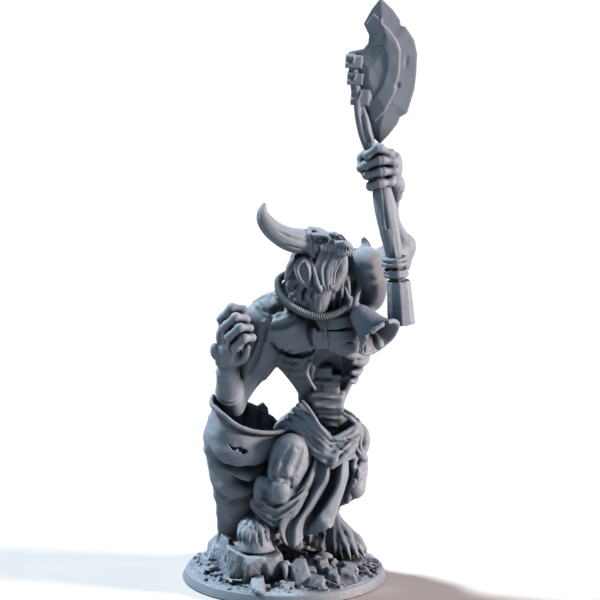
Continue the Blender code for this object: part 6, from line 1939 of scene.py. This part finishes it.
def make_disc(material):
    """The round foot of the base, with its bevelled wall."""
    sides = 160
    foot, shoulder = (BASE_RADIUS, 0.0003), (BASE_RADIUS - BASE_BEVEL + 0.0001, BASE_TOP - 0.0002)
    wall = [between(foot, shoulder, i / 8) for i in range(9)]
    profile = [
        (0.0, 0.0), (BASE_RADIUS - 0.0003, 0.0), *wall, (BASE_RADIUS - BASE_BEVEL - 0.0002, BASE_TOP),
        (0.0, BASE_TOP)
    ]
    lump = bmesh.new()
    rings = []
    for radius, height in profile:
        if radius == 0.0:
            rings.append([lump.verts.new((0, 0, height))])
        else:
            angles = (2 * math.pi * i / sides for i in range(sides))
            rings.append(
                [lump.verts.new((radius * math.cos(a), radius * math.sin(a), height)) for a in angles]
            )
    for low, high in zip(rings, rings[1:]):
        for i in range(sides):
            j = (i + 1) % sides
            corners = (low[i % len(low)], low[j % len(low)], high[j % len(high)], high[i % len(high)])
            lump.faces.new(list(dict.fromkeys(corners)))
    bmesh.ops.recalc_face_normals(lump, faces=lump.faces)
    mesh = bpy.data.meshes.new("disc")
    lump.to_mesh(mesh)
    lump.free()
    mesh.shade_smooth()
    mesh.set_sharp_from_angle(angle=math.radians(30))
    obj = bpy.data.objects.new("disc", mesh)
    bpy.context.scene.collection.objects.link(obj)
    return finish_piece(obj, "base", material)


# Resin, light and camera


def resin():
    """Matt blue-grey casting resin in cloudy tones, with a painted highlight on its sharp rims and painted
    shade in its creases and recesses.
    """
    material = bpy.data.materials.new("grey_resin")
    material.use_nodes = True
    nodes, links = material.node_tree.nodes, material.node_tree.links
    shader = nodes["Principled BSDF"]
    place = nodes.new("ShaderNodeTexCoord")
    geometry = nodes.new("ShaderNodeNewGeometry")

    def noise(scale, detail):
        node = nodes.new("ShaderNodeTexNoise")
        node.inputs["Scale"].default_value = scale
        node.inputs["Detail"].default_value = detail
        links.new(place.outputs["Object"], node.inputs["Vector"])
        return node.outputs["Fac"]

    def spread(value, low, high, to_low, to_high):
        node = nodes.new("ShaderNodeMapRange")
        for name, number in (("From Min", low), ("From Max", high), ("To Min", to_low), ("To Max", to_high)):
            node.inputs[name].default_value = number
        links.new(value, node.inputs["Value"])
        return node.outputs["Result"]

    def blend(share, one, two):
        node = nodes.new("ShaderNodeMix")
        node.data_type = "RGBA"
        links.new(share, node.inputs[0])
        for socket, colour in ((node.inputs[6], one), (node.inputs[7], two)):
            if isinstance(colour, tuple):
                socket.default_value = (*colour, 1)
            else:
                links.new(colour, socket)
        return node.outputs[2]

    clouds = spread(noise(140, 4), 0.3, 0.7, 0, 1)
    # Painted highlight: sharp rims are made paler, as if the light caught them.
    rim_highlight = spread(geometry.outputs["Pointiness"], 0.55, 0.68, 0, 0.5)
    # Painted shade: creases are made darker, as if shade fell in them.
    creases = spread(geometry.outputs["Pointiness"], 0.40, 0.49, 0.7, 0)
    plain = blend(clouds, RESIN_DARK, RESIN_PALE)
    crease_shaded = blend(creases, blend(rim_highlight, plain, RESIN_EDGE_HIGHLIGHT), RESIN_CREASE_SHADE)
    # Painted shade: recesses close to other forms are made nearly black, as if little light reached them.
    shade = nodes.new("ShaderNodeAmbientOcclusion")
    shade.inputs["Distance"].default_value = HOLLOW_SHADE_REACH
    recess_shade = spread(shade.outputs["AO"], 0.34, 0.96, 0.92, 0)
    links.new(blend(recess_shade, crease_shaded, RESIN_HOLLOW_SHADE), shader.inputs["Base Color"])
    links.new(spread(noise(900, 3), 0.3, 0.7, 0.6, 0.75), shader.inputs["Roughness"])
    shader.inputs["Specular IOR Level"].default_value = 0.3
    bump = nodes.new("ShaderNodeBump")
    bump.inputs["Strength"].default_value = 0.35
    bump.inputs["Distance"].default_value = 0.00012
    links.new(noise(2600, 5), bump.inputs["Height"])
    links.new(bump.outputs["Normal"], shader.inputs["Normal"])
    return material


def plain_material(name, colour, roughness):
    material = bpy.data.materials.new(name)
    material.use_nodes = True
    shader = material.node_tree.nodes["Principled BSDF"]
    shader.inputs["Base Color"].default_value = (*colour, 1)
    shader.inputs["Roughness"].default_value = roughness
    shader.inputs["Specular IOR Level"].default_value = 0.2
    return material


def aim(obj, target):
    obj.rotation_euler = (Vector(target) - obj.location).to_track_quat("-Z", "Y").to_euler()


def add_sun(name, side, softness, strength, colour):
    """Even studio light from one side, as soft as a source this many degrees across."""
    light = bpy.data.lights.new(name, "SUN")
    light.angle = math.radians(softness)
    light.energy = strength
    light.color = colour
    obj = bpy.data.objects.new(name, light)
    obj.location = Vector(side)
    bpy.context.scene.collection.objects.link(obj)
    aim(obj, (0, 0, 0))
    return obj


def set_stage():
    mesh = bpy.data.meshes.new("floor")
    corners = [(x * FLOOR_REACH, y * FLOOR_REACH, 0) for x, y in ((-1, -1), (1, -1), (1, 1), (-1, 1))]
    mesh.from_pydata(corners, [], [(0, 1, 2, 3)])
    floor = bpy.data.objects.new("floor", mesh)
    mesh.materials.append(plain_material("floor_pale", FLOOR_COLOUR, 0.9))
    bpy.context.scene.collection.objects.link(floor)
    for sun in SUNS:
        add_sun(*sun)
    world = bpy.data.worlds.new("world")
    bpy.context.scene.world = world
    world.use_nodes = True
    back = world.node_tree.nodes["Background"]
    back.inputs["Color"].default_value = (*SKY_COLOUR, 1)
    back.inputs["Strength"].default_value = SKY_STRENGTH
    bpy.context.scene.view_settings.view_transform = "Standard"


def set_camera():
    camera = bpy.data.cameras.new("camera")
    camera.type = "PERSP"
    camera.sensor_width = CAMERA_SENSOR
    camera.lens = CAMERA_LENS
    obj = bpy.data.objects.new("camera", camera)
    target = Vector(CAMERA_TARGET)
    tilt = math.radians(CAMERA_TILT)
    obj.location = target + CAMERA_DISTANCE * Vector((0, -math.cos(tilt), math.sin(tilt)))
    bpy.context.scene.collection.objects.link(obj)
    aim(obj, target)
    bpy.context.scene.camera = obj


def main():
    material = resin()
    for make in (
        make_body, make_right_hand, make_left_hand, make_head, make_horns, make_mane, make_rope, make_bell,
        make_haft, make_blade, make_legs, make_cloth, make_wrap, make_ground, make_disc,
    ):
        make(material)
    set_stage()
    set_camera()


main()
